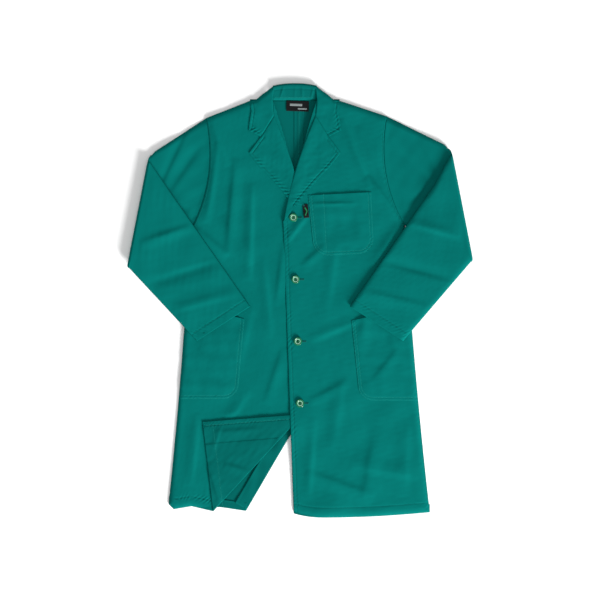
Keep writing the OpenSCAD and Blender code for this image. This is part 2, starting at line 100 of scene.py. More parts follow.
def between(loop, a, b):
    """The stretch of a loop that runs counter-clockwise from its corner nearest a to the one nearest b."""
    i, j = nearest(loop, a), nearest(loop, b)
    return np.roll(loop, -i, axis=0)[: (j - i) % len(loop) + 1]


def stretch(loop, a, b, s):
    """As between(), turned round for the wearer's right side, so that both sides read alike."""
    return between(loop, a, b) if s > 0 else between(loop, b, a)[::-1]


def run_of(line):
    """How far along a line each of its points lies."""
    return np.concatenate([[0], np.cumsum(np.linalg.norm(np.diff(line, axis=0), axis=1))])


def along(line, t):
    """Points at the shares t of a line's length."""
    run = run_of(line)
    return np.stack([np.interp(np.asarray(t) * run[-1], run, line[:, k]) for k in range(line.shape[1])],
                    axis=-1)


def shares(length, step=0.003, fine=0.0013, low=0.0, high=0.0):
    """Shares of a length at one step, in finer steps within the widths low and high of its two ends."""
    parts = [np.linspace(0, low, max(1, round(low / fine)), endpoint=False) if low else np.zeros(0)]
    parts += [np.linspace(low, length - high, max(2, round((length - low - high) / step)), endpoint=False)]
    parts += [np.linspace(length - high, length, max(2, round(high / fine) + 1)) if high
              else np.array([length])]
    return np.concatenate(parts) / length


def patch(south, north, west, east, u, v):
    """A grid between four lines: the mean of the two straight blends less that of the corners.
    P = (1-v) south(u) + v north(u) + (1-u) west(v) + u east(v) - the corners' two-way blend."""
    s, n = along(south, u)[None], along(north, u)[None]
    w, e = along(west, v)[:, None], along(east, v)[:, None]
    uu, vv = np.asarray(u)[None, :, None], np.asarray(v)[:, None, None]
    corners = (1 - uu) * (1 - vv) * s[:, :1] + uu * (1 - vv) * s[:, -1:]
    corners = corners + (1 - uu) * vv * n[:, :1] + uu * vv * n[:, -1:]
    return (1 - vv) * s + vv * n + (1 - uu) * w + uu * e - corners


def from_line(p, line):
    """How far points lie from a line on the plan, and how far along it their nearest points are."""
    flat = p.reshape(-1, 1, 2)
    a, step = line[:-1], np.diff(line, axis=0)
    long = np.maximum(np.linalg.norm(step, axis=1), 1e-9)
    t = np.clip(((flat - a) * step).sum(axis=2) / long**2, 0, 1)
    off = np.linalg.norm(flat - a - t[..., None] * step, axis=2)
    best, rows = off.argmin(axis=1), np.arange(len(flat))
    run = run_of(line)[best] + t[rows, best] * long[best]
    return off[rows, best].reshape(p.shape[:-1]), run.reshape(p.shape[:-1])


def moved(line, d):
    """A line moved sideways by d, to its left where d is positive."""
    step = np.gradient(line, axis=0)
    step = step / np.maximum(np.linalg.norm(step, axis=1), 1e-9)[:, None]
    return line + d * np.stack([-step[:, 1], step[:, 0]], axis=1)


def unit(v):
    """A vector of length 1 in the direction of v."""
    return np.asarray(v, float) / np.linalg.norm(v)


def joint_line(name, loop):
    """The two ends of the edge of an outline that lies on a joint's axis, the higher one first."""
    at, axis = np.array(joints[name]["pos_m"][:2]), unit(joints[name]["axis"][:2])
    off = (loop - at) @ np.array([-axis[1], axis[0]])
    on = loop[np.abs(off) < 0.0012]
    t = (on - at) @ axis
    ends = at + np.outer([t.min(), t.max()], axis)
    return ends[ends[:, 1].argsort()[::-1]]


# ---------------------------------------------------------------- shapes of laid cloth
def smooth(t):
    """An even step: 3 t^2 - 2 t^3 from t = 0 to t = 1, and level outside that."""
    t = np.clip(t, 0, 1)
    return t * t * (3 - 2 * t)


def dome(d, r):
    """A quarter round: 0 at d = 0 and 1 from d = r on."""
    return np.sqrt(1 - (1 - np.clip(d / r, 0, 1)) ** 2)


def ridge(p, a, b, width, height, lean=0.0):
    """A soft fold from a to b, fading at its ends, where lean steepens one slope.
    FOLD_GAIN * height * exp(-(off / 0.85 width)^2) * (4 t (1 - t))^0.8, with t the share of the way to b."""
    a, b = np.asarray(a, float), np.asarray(b, float)
    step = b - a
    t = ((p - a) @ step) / (step @ step)
    off = ((p - a) @ np.array([-step[1], step[0]])) / np.linalg.norm(step) / (0.85 * width)
    off = np.where(off > 0, off * (1 + lean), off * (1 - lean))
    return FOLD_GAIN * height * np.exp(-(off**2)) * np.clip(4 * t * (1 - t), 0, 1) ** 0.8


def ripple(p, seed, low, high, n=10):
    """Gentle unevenness: the mean of n sine waves of lengths low to high, in all directions."""
    rng = np.random.default_rng(seed)
    turn, phase = rng.uniform(0, math.pi, n), rng.uniform(0, 6.28, n)
    wave = 2 * math.pi / rng.uniform(low, high, n)
    heights = np.sin(p[..., :1] * (wave * np.cos(turn)) + p[..., 1:2] * (wave * np.sin(turn)) + phase)
    return heights.sum(axis=-1) / math.sqrt(n / 2)


def topstitch(p, line, insets=(0.009,), depth=0.0006, pitch=0.0095, reach=0.008):
    """Rows of stitches beside an edge: a groove at each inset, and short slanting puckers across them.
    -depth * exp(-((d - inset) / 1.4 mm)^2), plus 0.55 depth * sin(2 pi (s + 0.8 d) / pitch + drift)."""
    d, s = from_line(p, line)
    z = -sum(depth * np.exp(-(((d - i) / 0.0014) ** 2)) for i in insets)
    sway = np.clip(0.7 + np.sin(s / 0.021) * np.sin(s / 0.047 + 1) + 0.5 * np.sin(s / 0.009), 0.1, 2)
    wave = np.sin(2 * math.pi * (s + 0.8 * d) / pitch + 2.6 * np.sin(s / 0.033) + 1.2 * np.sin(s / 0.011))
    middle = sum(insets) / len(insets)
    return z + 0.55 * depth * sway * wave * np.exp(-(((d - middle) / reach) ** 2))


def add_piece(name, co, material, closed=False, flip=None, thick=CLOTH, body=None, nodes=(), slot="cloth",
              held="laid"):
    """A cloth piece from a grid of points (rows, columns, 3).
    A closed one joins its last column to its first."""
    rows, cols = co.shape[:2]
    index = np.arange(rows * cols).reshape(rows, cols)
    if closed:
        index = np.concatenate([index, index[:, :1]], axis=1)
    quads = np.stack([index[:-1, :-1], index[:-1, 1:], index[1:, 1:], index[1:, :-1]],
                     axis=-1).reshape(-1, 4)
    if flip is None:
        a, b, c = (co.reshape(-1, 3)[quads[:, k]] for k in range(3))
        flip = np.cross(b - a, c - a)[:, 2].sum() < 0
    mesh = bpy.data.meshes.new(name)
    mesh.from_pydata(co.reshape(-1, 3).tolist(), [], (quads[:, ::-1] if flip else quads).tolist())
    mesh.validate()
    mesh.polygons.foreach_set("use_smooth", np.ones(len(mesh.polygons), bool))
    mesh.materials.append(material)
    piece = bpy.data.objects.new(name, mesh)
    bpy.context.scene.collection.objects.link(piece)
    if thick:
        solid = piece.modifiers.new("thickness", "SOLIDIFY")
        solid.thickness = thick
        solid.offset = -1
    if body:
        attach(piece, body)
    if nodes:
        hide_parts(*nodes)
    if slot.startswith("cloth") and nodes and held:
        SHEETS.append((piece, held, None))
    return piece


def stand(p, z):
    """Points on the plan raised to their heights."""
    return np.concatenate([p, np.asarray(z)[..., None]], axis=-1)


def grid_height(p, z):
    """A function that gives the height of the grid point nearest to each point on the plan."""
    flat, high = p.reshape(-1, 2), np.asarray(z).ravel()

    def height(q):
        """The height of the grid point nearest each point of q."""
        off = ((flat[None] - q.reshape(-1, 1, 2)) ** 2).sum(axis=2)
        return high[off.argmin(axis=1)].reshape(q.shape[:-1])

    return height


def declare(piece, flat=None):
    """Works out a piece's cut and area as a sheet of cloth, and keeps neither. Its cut is the box it lies in,
    square to x and y, or flat where given, made larger if the modelled cloth wouldn't fit in it. The area is
    that of the modelled cloth. It is held to LEAST_SHARE of the box or more, so for a narrow strip that lies
    at a slant, vent_strip_right, it reads too large."""
    mesh = piece.data
    co = np.zeros(len(mesh.vertices) * 3)
    mesh.vertices.foreach_get("co", co)
    faces = np.zeros(len(mesh.polygons))
    mesh.polygons.foreach_get("area", faces)
    area = float(faces.sum())
    width, length = flat or np.ptp(co.reshape(-1, 3), axis=0)[:2]
    width, length = max(float(width), 0.0101), max(float(length), 0.0101)
    grow = max(1.0, math.sqrt(area / (0.99 * width * length)))
    width, length = width * grow, length * grow
    area = min(max(area, LEAST_SHARE * width * length), width * length)


# ---------------------------------------------------------------- materials
def colour(r, g, b):
    """A display colour 0-255 as the linear values a shader takes."""
    c = np.array([r, g, b]) / 255
    return (*np.where(c <= 0.04045, c / 12.92, ((c + 0.055) / 1.055) ** 2.4).tolist(), 1.0)


def cloth_material(name, base, light):
    """Poly-cotton twill: a base colour that drifts slightly over the cloth, and fine slanting ribs."""
    material = bpy.data.materials.new(name)
    material.use_nodes = True
    tree = material.node_tree
    shader = tree.nodes["Principled BSDF"]
    place = tree.nodes.new("ShaderNodeTexCoord")
    drift = tree.nodes.new("ShaderNodeTexNoise")
    drift.inputs["Scale"].default_value = 9
    drift.inputs["Detail"].default_value = 3
    blend = tree.nodes.new("ShaderNodeMix")
    blend.data_type = "RGBA"
    blend.inputs["A"].default_value = base
    blend.inputs["B"].default_value = light
    ribs = tree.nodes.new("ShaderNodeTexWave")
    ribs.bands_direction = "DIAGONAL"
    ribs.inputs["Scale"].default_value = 300
    ribs.inputs["Distortion"].default_value = 0.6
    bump = tree.nodes.new("ShaderNodeBump")
    bump.inputs["Strength"].default_value = 0.12
    bump.inputs["Distance"].default_value = 0.0002
    tree.links.new(place.outputs["Object"], drift.inputs["Vector"])
    tree.links.new(place.outputs["Object"], ribs.inputs["Vector"])
    tree.links.new(drift.outputs["Fac"], blend.inputs["Factor"])
    tree.links.new(blend.outputs["Result"], shader.inputs["Base Color"])
    tree.links.new(ribs.outputs["Fac"], bump.inputs["Height"])
    tree.links.new(bump.outputs["Normal"], shader.inputs["Normal"])
    shader.inputs["Roughness"].default_value = 0.85
    shader.inputs["Specular IOR Level"].default_value = 0.02
    return material


def plain_material(name, base, rough, shine=0.1):
    """A material of one even colour."""
    material = bpy.data.materials.new(name)
    material.use_nodes = True
    shader = material.node_tree.nodes["Principled BSDF"]
    shader.inputs["Base Color"].default_value = base
    shader.inputs["Roughness"].default_value = rough
    shader.inputs["Specular IOR Level"].default_value = shine
    return material


cloth = cloth_material("coat_cloth", colour(1, 95, 90), colour(2, 101, 95))
inside = cloth_material("coat_cloth_inside", colour(1, 86, 81), colour(2, 92, 87))
thread = plain_material("sewing_thread", colour(2, 86, 81), 0.8)
seam_thread = plain_material("seam_thread", colour(24, 132, 122), 0.8)
button_resin = plain_material("button_resin", colour(0, 98, 62), 0.2, 0.35)
# Painted highlight: a pale colour for a ring on each button's face, standing in for light glinting off it.
painted_highlight_ring = plain_material("button_ring_polish", colour(150, 196, 172), 0.25, 0.5)
# Dark green of the buttons' thread, also used as painted shade on a sheet in each buttonhole slit.
thread_and_slit_shade = plain_material("button_thread_green", colour(0, 50, 38), 0.6)
label_black = plain_material("label_black", colour(14, 14, 16), 0.6)
label_mark = plain_material("label_mark", colour(120, 128, 128), 0.6)
flag_mark = plain_material("flag_mark", colour(30, 110, 70), 0.6)

# ---------------------------------------------------------------- key lines of the coat
front_loop = {s: plan(f"front_panel_{n}") for s, n in SIDES.items()}
back_loop = {s: plan(f"back_panel_{n}") for s, n in SIDES.items()}
upper_loop = {s: plan(f"sleeve_upper_{n}") for s, n in SIDES.items()}
forearm_loop = {s: plan(f"sleeve_forearm_{n}") for s, n in SIDES.items()}
EDGE = {}
for s in SIDES:
    gaps = np.linalg.norm(front_loop[s][:, None] - upper_loop[s][None], axis=2).min(axis=1)
    shared = front_loop[s][gaps < 0.0003]
    loop = front_loop[s]
    EDGE[s] = {
        "shoulder": shared[shared[:, 1].argmax()],
        "underarm": shared[shared[:, 1].argmin()],
        "neck": loop[(2 * loop[:, 1] + 0.5 * s * loop[:, 0]).argmax()],
        "hem": loop[(s * loop[:, 0] - loop[:, 1]).argmax()],
    }
roll_left = joint_line("left_lapel_roll", front_loop[1])
roll_right = joint_line("right_lapel_roll", front_loop[-1])
turn = joint_line("front_corner_fold", front_loop[-1])
gorge = {1: roll_left[0], -1: roll_right[0]}
left_break, cross = roll_left[1], roll_right[1]
edge_fold, hem_fold = turn
corner_loop = plan("front_corner")
turn_run = edge_fold - hem_fold
corner = corner_loop[((corner_loop - hem_fold) @ np.array([-turn_run[1], turn_run[0]])).argmax()]
top_dir, hem_dir = unit(edge_fold - corner), unit(hem_fold - corner)
fold_step = unit(edge_fold - hem_fold)
left_foot = np.roll(front_loop[1], -nearest(front_loop[1], left_break), axis=0)[1]
neck_x = (gorge[1][0] + gorge[-1][0]) / 2
neck_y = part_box("neck_label")[1].y + 0.004
roll_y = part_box("collar_back")[1].y
AXIS_Z = {s: joints[f"{n}_elbow_fold"]["pos_m"][2] for s, n in SIDES.items()}
TURN_Z = joints["front_corner_fold"]["pos_m"][2]
ROLL_Z = {s: joints[f"{n}_lapel_roll"]["pos_m"][2] for s, n in SIDES.items()}

side_line = {s: stretch(front_loop[s], EDGE[s]["hem"], EDGE[s]["underarm"], s) for s in SIDES}
armhole = {s: stretch(front_loop[s], EDGE[s]["underarm"], EDGE[s]["shoulder"], s) for s in SIDES}
shoulder_line = {s: stretch(front_loop[s], EDGE[s]["shoulder"], EDGE[s]["neck"], s) for s in SIDES}
neck_line = {s: stretch(front_loop[s], EDGE[s]["neck"], gorge[s], s) for s in SIDES}
roll_line = {1: stretch(front_loop[1], gorge[1], left_break, 1)}
bow = np.sin(np.linspace(0, math.pi, 13))[:, None] * 0.0045
across_roll = unit(np.array([-(cross - gorge[-1])[1], (cross - gorge[-1])[0]]))
roll_line[-1] = gorge[-1] + np.linspace(0, 1, 13)[:, None] * (cross - gorge[-1]) + bow * across_roll
front_edge = {1: np.array([left_break, left_foot])}
right_edge = stretch(front_loop[-1], cross, edge_fold, -1)
hem_line = {
    1: stretch(front_loop[1], left_foot, EDGE[1]["hem"], 1),
    -1: stretch(front_loop[-1], hem_fold, EDGE[-1]["hem"], -1),
}


def at(node, x, y):
    """The point at the shares x and y of a part's box."""
    low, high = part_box(node)
    return np.array([low.x + x * (high.x - low.x), low.y + y * (high.y - low.y)])


# Soft folds of each front, as shares of the panel's box: from, to, width, height, lean
FOLDS = {
    1: [
        ((0.396, 0.958), (0.60, 0.79), 0.010, 0.0022, 0.35),
        ((0.57, 0.82), (0.80, 0.715), 0.012, 0.0024, 0.3),
        ((0.50, 0.94), (0.72, 0.80), 0.016, 0.0013, -0.3),
        ((0.18, 0.735), (0.02, 0.66), 0.010, 0.0016, 0.3),
        ((0.12, 0.60), (0.30, 0.655), 0.012, 0.0012, 0.2),
        ((0.17, 0.425), (0.52, 0.475), 0.013, 0.0014, -0.3),
        ((0.17, 0.275), (0.46, 0.33), 0.014, 0.0013, 0.3), ((0.15, 0.11), (0.62, 0.05), 0.016, 0.0016, 0.3),
        ((0.45, 0.13), (0.93, 0.10), 0.020, 0.0014, -0.3), ((0.80, 0.71), (0.60, 0.60), 0.012, 0.0014, 0.2),
        ((0.36, 0.66), (0.30, 0.50), 0.014, 0.0012, 0.3), ((0.62, 0.60), (0.52, 0.40), 0.018, 0.0012, -0.2),
        ((0.40, 0.34), (0.33, 0.16), 0.018, 0.0014, 0.2), ((0.64, 0.22), (0.55, 0.03), 0.020, 0.0015, -0.3),
        ((0.84, 0.24), (0.82, 0.05), 0.018, 0.0012, 0.3), ((0.21, 0.24), (0.17, 0.04), 0.012, 0.0012, 0.3),
    ],
    -1: [
        ((0.62, 0.80), (0.60, 0.56), 0.011, 0.0020, 0.35),
        ((0.50, 0.86), (0.44, 0.62), 0.013, 0.0020, -0.3),
        ((0.36, 0.90), (0.28, 0.70), 0.014, 0.0018, 0.3), ((0.40, 0.72), (0.62, 0.60), 0.012, 0.0015, 0.3),
        ((0.18, 0.695), (0.44, 0.62), 0.013, 0.0020, 0.3), ((0.30, 0.95), (0.45, 0.84), 0.012, 0.0014, 0.3),
        ((0.70, 0.62), (0.76, 0.42), 0.012, 0.0013, 0.3), ((0.86, 0.66), (0.80, 0.50), 0.010, 0.0012, -0.3),
        ((0.62, 0.50), (0.52, 0.36), 0.015, 0.0012, 0.3), ((0.86, 0.40), (0.72, 0.26), 0.013, 0.0013, -0.3),
        ((0.60, 0.30), (0.34, 0.16), 0.015, 0.0014, 0.3), ((0.22, 0.24), (0.16, 0.06), 0.014, 0.0014, 0.3),
        ((0.10, 0.50), (0.30, 0.54), 0.014, 0.0014, 0.3), ((0.36, 0.19), (0.28, 0.02), 0.012, 0.0014, -0.3),
    ],
}
TOP = {-1: 0.0082, 1: 0.0102}


def fold_side(p):
    """How far above the turned corner's fold line points lie, on the coat's side."""
    return (p - hem_fold) @ np.array([-fold_step[1], fold_step[0]])


def clear_of_corner(p):
    """0 under the turned-back corner and 1 from 20 mm outside it on."""
    above = (p - corner) @ np.array([-top_dir[1], top_dir[0]])
    beside = (p - corner) @ np.array([hem_dir[1], -hem_dir[0]])
    return smooth(np.maximum(above, beside) / 0.02)


def right_height(p):
    """Height of the wearer's right front: TOP, rounded down at side, shoulder and hem, plus its folds."""
    s = -1
    hem_off = from_line(p, hem_line[s])[0]
    near_fold = np.exp(-((np.linalg.norm(p - hem_fold, axis=-1) / 0.045) ** 2))
    z = 0.0012 + (TOP[s] - 0.0012) * dome(from_line(p, side_line[s])[0], 0.014)
    z = np.minimum(z, 0.0016 + (TOP[s] - 0.0016) * dome(from_line(p, shoulder_line[s])[0] + 0.0005, 0.016))
    z = np.minimum(z, 0.0022 + (TOP[s] - 0.0022) * np.maximum(dome(hem_off + 0.0005, 0.016), near_fold))
    soft = sum(ridge(p, at("front_panel_right", *a), at("front_panel_right", *b), w, h, k) for a, b, w, h,
               k in FOLDS[s])
    calm = smooth(np.abs(fold_side(p)) / 0.02) * smooth(from_line(p, roll_line[s])[0] / 0.02)
    calm = calm * clear_of_corner(p)
    edges = np.minimum(from_line(p, side_line[s])[0], from_line(p, armhole[s])[0])
    soft = (soft + 0.0004 * ripple(p, 11, 0.05, 0.15)) * calm * smooth(edges / 0.02)
    soft = soft + 0.00007 * ripple(p, 12, 0.011, 0.03, 14)
    z = z + soft - 0.0014 * np.exp(-((from_line(p, armhole[s])[0] / 0.0022) ** 2))
    z = z + topstitch(p, hem_line[s], (0.025,)) + topstitch(p, side_line[s], (0.003,), 0.0003, 0.012)
    z = z + topstitch(p, armhole[s], (0.005,), 0.00025, 0.012)
    z = TURN_Z - (TURN_Z - np.maximum(z, 0.0009)) * dome(from_line(p, turn)[0], 0.0012)
    return ROLL_Z[s] - (ROLL_Z[s] - z) * dome(from_line(p, roll_line[s])[0], 0.0012)


def left_height(p):
    """Height of the wearer's left front: TOP, rounded down at its edges, lifted over the front beneath."""
    s = 1
    hem_off = from_line(p, hem_line[s])[0]
    edge_off = from_line(p, np.concatenate([roll_line[1], front_edge[1][1:]]))[0]
    z = 0.0012 + (TOP[s] - 0.0012) * dome(from_line(p, side_line[s])[0], 0.016)
    z = np.minimum(z, 0.0016 + (TOP[s] - 0.0016) * dome(from_line(p, shoulder_line[s])[0] + 0.0005, 0.018))
    z = np.minimum(z, 0.0024 + (TOP[s] - 0.0024) * dome(hem_off + 0.0005, 0.018))
    lower = smooth((edge_fold[1] - 0.03 - p[..., 1]) / 0.16) * (1 - smooth(edge_off / 0.11))
    z = z - 0.0055 * lower * smooth((z - 0.003) / 0.006)
    below = (left_break[1] - p[..., 1]) > -0.02
    z = z - 0.0006 * (1 - dome(edge_off, 0.004)) * below
    tuck = np.exp(-(((p[..., 1] - edge_fold[1] + 0.022) / 0.045) ** 2)) * (1 - smooth(edge_off / 0.075))
    soft = sum(ridge(p, at("front_panel_left", *a), at("front_panel_left", *b), w, h, k) for a, b, w, h,
               k in FOLDS[s])
    edges = np.minimum(from_line(p, side_line[s])[0], from_line(p, armhole[s])[0])
    calm = smooth(edges / 0.02) * smooth(from_line(p, roll_line[s])[0] / 0.02)
    soft = (soft + 0.0004 * ripple(p, 21, 0.05, 0.15)) * calm * smooth((edge_off + 0.004) / 0.02)
    z = z + soft + 0.00007 * ripple(p, 22, 0.011, 0.03, 14) + 0.0034 * tuck
    z = z - 0.0014 * np.exp(-((from_line(p, armhole[s])[0] / 0.0022) ** 2))
    z = z + topstitch(p, front_edge[1], (0.009,)) + topstitch(p, hem_line[s], (0.025,))
    z = z + topstitch(p, side_line[s], (0.003,), 0.0003,
                      0.012) + topstitch(p, armhole[s], (0.005,), 0.00025, 0.012)
    cover = np.exp(-(((p[..., 1] - cross[1] + 0.035) / 0.04) ** 2)) * (1 - smooth(edge_off / 0.05))
    z = np.maximum(z + 0.0012 * cover, 0.0009)
    return ROLL_Z[s] - (ROLL_Z[s] - z) * dome(from_line(p, roll_line[s])[0], 0.0012)


HEIGHT = {-1: right_height, 1: left_height}

# ---------------------------------------------------------------- fronts
v_front = shares(1.05, 0.0031, 0.0014, 0.03, 0.012)
left_west = np.concatenate([front_edge[1][::-1], roll_line[1][::-1][1:]])
left_north = np.concatenate([neck_line[1][::-1], shoulder_line[1][::-1][1:]])
left_east = np.concatenate([side_line[1], armhole[1][1:]])
p = patch(hem_line[1], left_north, left_west, left_east, shares(0.33, 0.0036, 0.0014, 0.016, 0.012),
          v_front)
add_piece("front_left", stand(p, left_height(p)), cloth, body="coat",
          nodes=("front_panel_left", "front_facing_left", "hem_front_left", "side_seam_left",
                 "shoulder_seam_left"))
right_east = np.concatenate([[hem_fold], right_edge[::-1], roll_line[-1][::-1][1:]])
right_west = np.concatenate([side_line[-1], armhole[-1][1:]])
right_north = np.concatenate([shoulder_line[-1], neck_line[-1][1:]])
p = patch(hem_line[-1][::-1], right_north, right_west, right_east,
          shares(0.30, 0.0036, 0.0014, 0.012, 0.008), v_front)
add_piece("front_right", stand(p, right_height(p)), cloth, body="coat",
          nodes=("front_panel_right", "front_facing_right", "hem_front_right", "side_seam_right",
                 "shoulder_seam_right"))

# ---------------------------------------------------------------- back and its inner strips
for s, n in SIDES.items():
    loop = back_loop[s]
    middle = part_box("centre_back_seam")
    middle_x = (middle[0].x + middle[1].x) / 2
    vent_top = loop[np.abs(loop[:, 0] - middle_x) < 0.001]
    vent_top = vent_top[vent_top[:, 1].argmin()]
    neck_mid = loop[(loop[:, 1] - 0.3 * s * loop[:, 0]).argmax()]
    hem = EDGE[s]["hem"]
    foot = np.roll(loop, -nearest(loop, vent_top) if s > 0 else -nearest(loop, vent_top) - 1, axis=0)
    foot = foot[1] if s > 0 else foot[-2]
    west = np.concatenate([stretch(loop, neck_mid, vent_top, s), [foot]])[::-1]
    east = np.concatenate([side_line[s], armhole[s][1:]])
    north = stretch(loop, EDGE[s]["shoulder"], neck_mid, s)[::-1]
    south = stretch(loop, foot, hem, s)
    p = patch(south, north, west, east, shares(0.3, 0.006), shares(1.0, 0.006))
    z = 0.0007 + 0.00006 * ripple(p, 31 + s, 0.03, 0.09)
    add_piece(f"back_{n}", stand(p, z), inside, body="coat", nodes=(f"back_panel_{n}",),
              slot="cloth_inside")
    vent_edge = np.array([vent_top, foot])
    out = moved(vent_edge, s * 0.035)
    down = unit(foot - vent_top)
    p = patch(np.array([foot - down * 0.004, out[1] - down * 0.004]),
              np.array([vent_top + down * 0.008, out[0] + down * 0.02]),
              np.array([foot - down * 0.004, vent_top + down * 0.008]),
              np.array([out[1] - down * 0.004, out[0] + down * 0.02]),
              shares(0.035, 0.003), shares(0.24, 0.004))
    d = from_line(p, vent_edge)[0]
    z = 0.0022 + 0.0008 * np.exp(-(((d - 0.033) / 0.002) ** 2)) + 0.0004 * ripple(p, 35 + s, 0.03, 0.08)
    add_piece(f"vent_strip_{n}", stand(p, z), inside, body="coat", nodes=(f"vent_facing_{n}",),
              slot="cloth_inside")
    up = moved(south, s * 0.020)
    p = patch(south, up, np.array([south[0], up[0]]), np.array([south[-1], up[-1]]), shares(0.3, 0.005),
              shares(0.02, 0.002))
    d = from_line(p, south)[0]
    z = 0.0014 + 0.0007 * np.exp(-(((d - 0.019) / 0.002) ** 2)) + topstitch(p, south, (0.017,), 0.0002)
    add_piece(f"back_hem_{n}", stand(p, z), inside, body="coat", nodes=(f"hem_back_{n}",),
              slot="cloth_inside")

low_seam, high_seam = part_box("centre_back_seam")
x = np.linspace(low_seam.x, high_seam.x, 17)
y = np.linspace(low_seam.y, neck_y + 0.004, 220)
p = np.stack(np.meshgrid(x, y), axis=-1)
across = np.abs(p[..., 0] - (low_seam.x + high_seam.x) / 2) / ((high_seam.x - low_seam.x) / 2)
z = 0.0013 + 0.0009 * np.exp(-((across / 0.22) ** 2)) + 0.0004 * np.exp(-(((across - 0.93) / 0.1) ** 2))
add_piece("centre_back_seam_open", stand(p, z), inside, body="coat", nodes=("centre_back_seam",),
          slot="cloth_inside")

# ---------------------------------------------------------------- sleeves
CUFF = {}  # for each side, the line of its cuff stitches and the heights that go with it
for s, n in SIDES.items():
    high_end, low_end = joint_line(f"{n}_elbow_fold", forearm_loop[s])
    shift = unit(high_end - low_end)
    normal = s * np.array([shift[1], -shift[0]])
    length = np.linalg.norm(high_end - low_end)
    loop, arm = upper_loop[s], forearm_loop[s]
    far = arm[((arm - low_end) @ normal).argsort()[:2]]
    cuff = far[((far - low_end) @ shift).argsort()[::-1]]
    under = stretch(loop, EDGE[s]["underarm"], low_end, s)
    over = stretch(loop, high_end, EDGE[s]["shoulder"], s)[::-1]
    inner = stretch(arm, high_end, cuff[0], s)
    lower = stretch(arm, cuff[1], low_end, s)[::-1]
    deep, shallow = 0.007, 0.0045
    zc = AXIS_Z[s]
    r_out, r_in = zc - 0.0009, 0.0013
    r_mid, r_half = (r_out + r_in) / 2, (r_out - r_in) / 2

    def crossing(line, d):
        """Where a line crosses the one at d from the fold: the share of its length and the point."""
        fine = along(line, np.linspace(0, 1, 800))
        off = (fine - low_end) @ normal
        k = np.abs(off - d).argmin()
        return k / 799, fine[k]

    ends = {k: crossing(line, -deep) for k, line in
            (("under", under), ("over", over), ("inner", inner), ("lower", lower))}
    cut = {k: along(line, np.linspace(0, ends[k][0], 90)) for k, line in (("under", under), ("over", over))}
    cut.update({k: along(line, np.linspace(ends[k][0], 1, 90)) for k,
                line in (("inner", inner), ("lower", lower))})
    c = shares(0.18, 0.0034, 0.0012, 0.011, 0.011)
    width = np.linalg.norm(cuff[0] - cuff[1])
    v1, v3 = shares(0.21, 0.0034, 0.0014, 0.008, 0.0), shares(0.40, 0.0034, 0.0014, 0.0, 0.027)
    p1 = patch(armhole[s], np.array([cut["under"][-1], cut["over"][-1]]), cut["under"], cut["over"], c, v1)
    p3 = patch(np.array([cut["lower"][0], cut["inner"][0]]), np.array([cuff[1], cuff[0]]), cut["lower"],
               cut["inner"], c, v3)

    # Upper part: the top layer starts at the front's height along the armhole and rises to the fold
    rim = dome(np.minimum(c, 1 - c) * 0.18, 0.010)[None, :]
    top_v = smooth(v1 / 0.8)[:, None]
    start = np.maximum(HEIGHT[s](along(armhole[s], c))[None, :] + s * 0.0010, 0.0018)
    middle = zc - r_mid
    folds = sum(ridge(p1, *(np.asarray(q) for q in ab), w, h, k) for ab, w, h, k in [
        ((EDGE[s]["underarm"] + shift * 0.02, over[len(over) // 2] * 0.5 + high_end * 0.5 - shift * 0.02),
         0.010, -0.0013, 0.3),
        ((EDGE[s]["underarm"] + shift * 0.05 + normal * 0.01, high_end - shift * 0.09 - normal * 0.02),
         0.012, -0.0015, -0.3),
        ((EDGE[s]["shoulder"] - shift * 0.06, low_end + shift * 0.17 - normal * 0.05), 0.014, -0.0012, 0.3),
        ((EDGE[s]["shoulder"] + normal * 0.04 - shift * 0.02, high_end - shift * 0.10 - normal * 0.03),
         0.010, -0.0011, 0.3)])
    quiet = smooth(v1 / 0.08)[:, None] * smooth((1 - v1) / 0.08)[:, None]
    folds = folds + 0.00025 * ripple(p1, 41 + s, 0.03, 0.09) - 0.0006
    zt1 = start * (1 - top_v) + (zc - r_in) * top_v + quiet * folds
    zt1 = np.minimum(zt1, zc - r_in)
    ze1 = 0.0014 + (middle - 0.0014) * smooth((v1 - 0.45) / 0.55)[:, None]
    ze1 = np.minimum(ze1, zt1 - 0.0002)
    zb1 = 0.0009 + 0 * ze1
    top1, low1 = ze1 + rim * (zt1 - ze1), ze1 + rim * (zb1 - ze1)

    # Round the fold: an ellipse of half width deep and half height r about the axis height
    phi = np.linspace(-math.pi / 2, math.pi / 2, 31)[1:-1, None]

    def along_fold(place):
        """How far along the fold a place lies from the fold's lower end."""
        return (place - low_end) @ shift

    q_up = along_fold(cut["under"][-1]) + c * (along_fold(cut["over"][-1]) - along_fold(cut["under"][-1]))
    q_dn = along_fold(cut["lower"][0]) + c * (along_fold(cut["inner"][0]) - along_fold(cut["lower"][0]))
    t = np.sin(phi)
    q = c * length + (q_dn - q_up) / 2 * t + ((q_up + q_dn) / 2 - c * length) * t**2

    def round_fold(eta):
        """The bend of the sleeve: its outer layer at eta = 1, its inner one at -1 and its edges at 0."""
        d = -deep + ((deep + shallow) / 2 - eta * (deep - shallow) / 2) * np.cos(phi)
        z = zc + (r_mid - eta * r_half) * np.sin(phi)
        return stand(low_end + q[..., None] * shift + d[..., None] * normal, z)

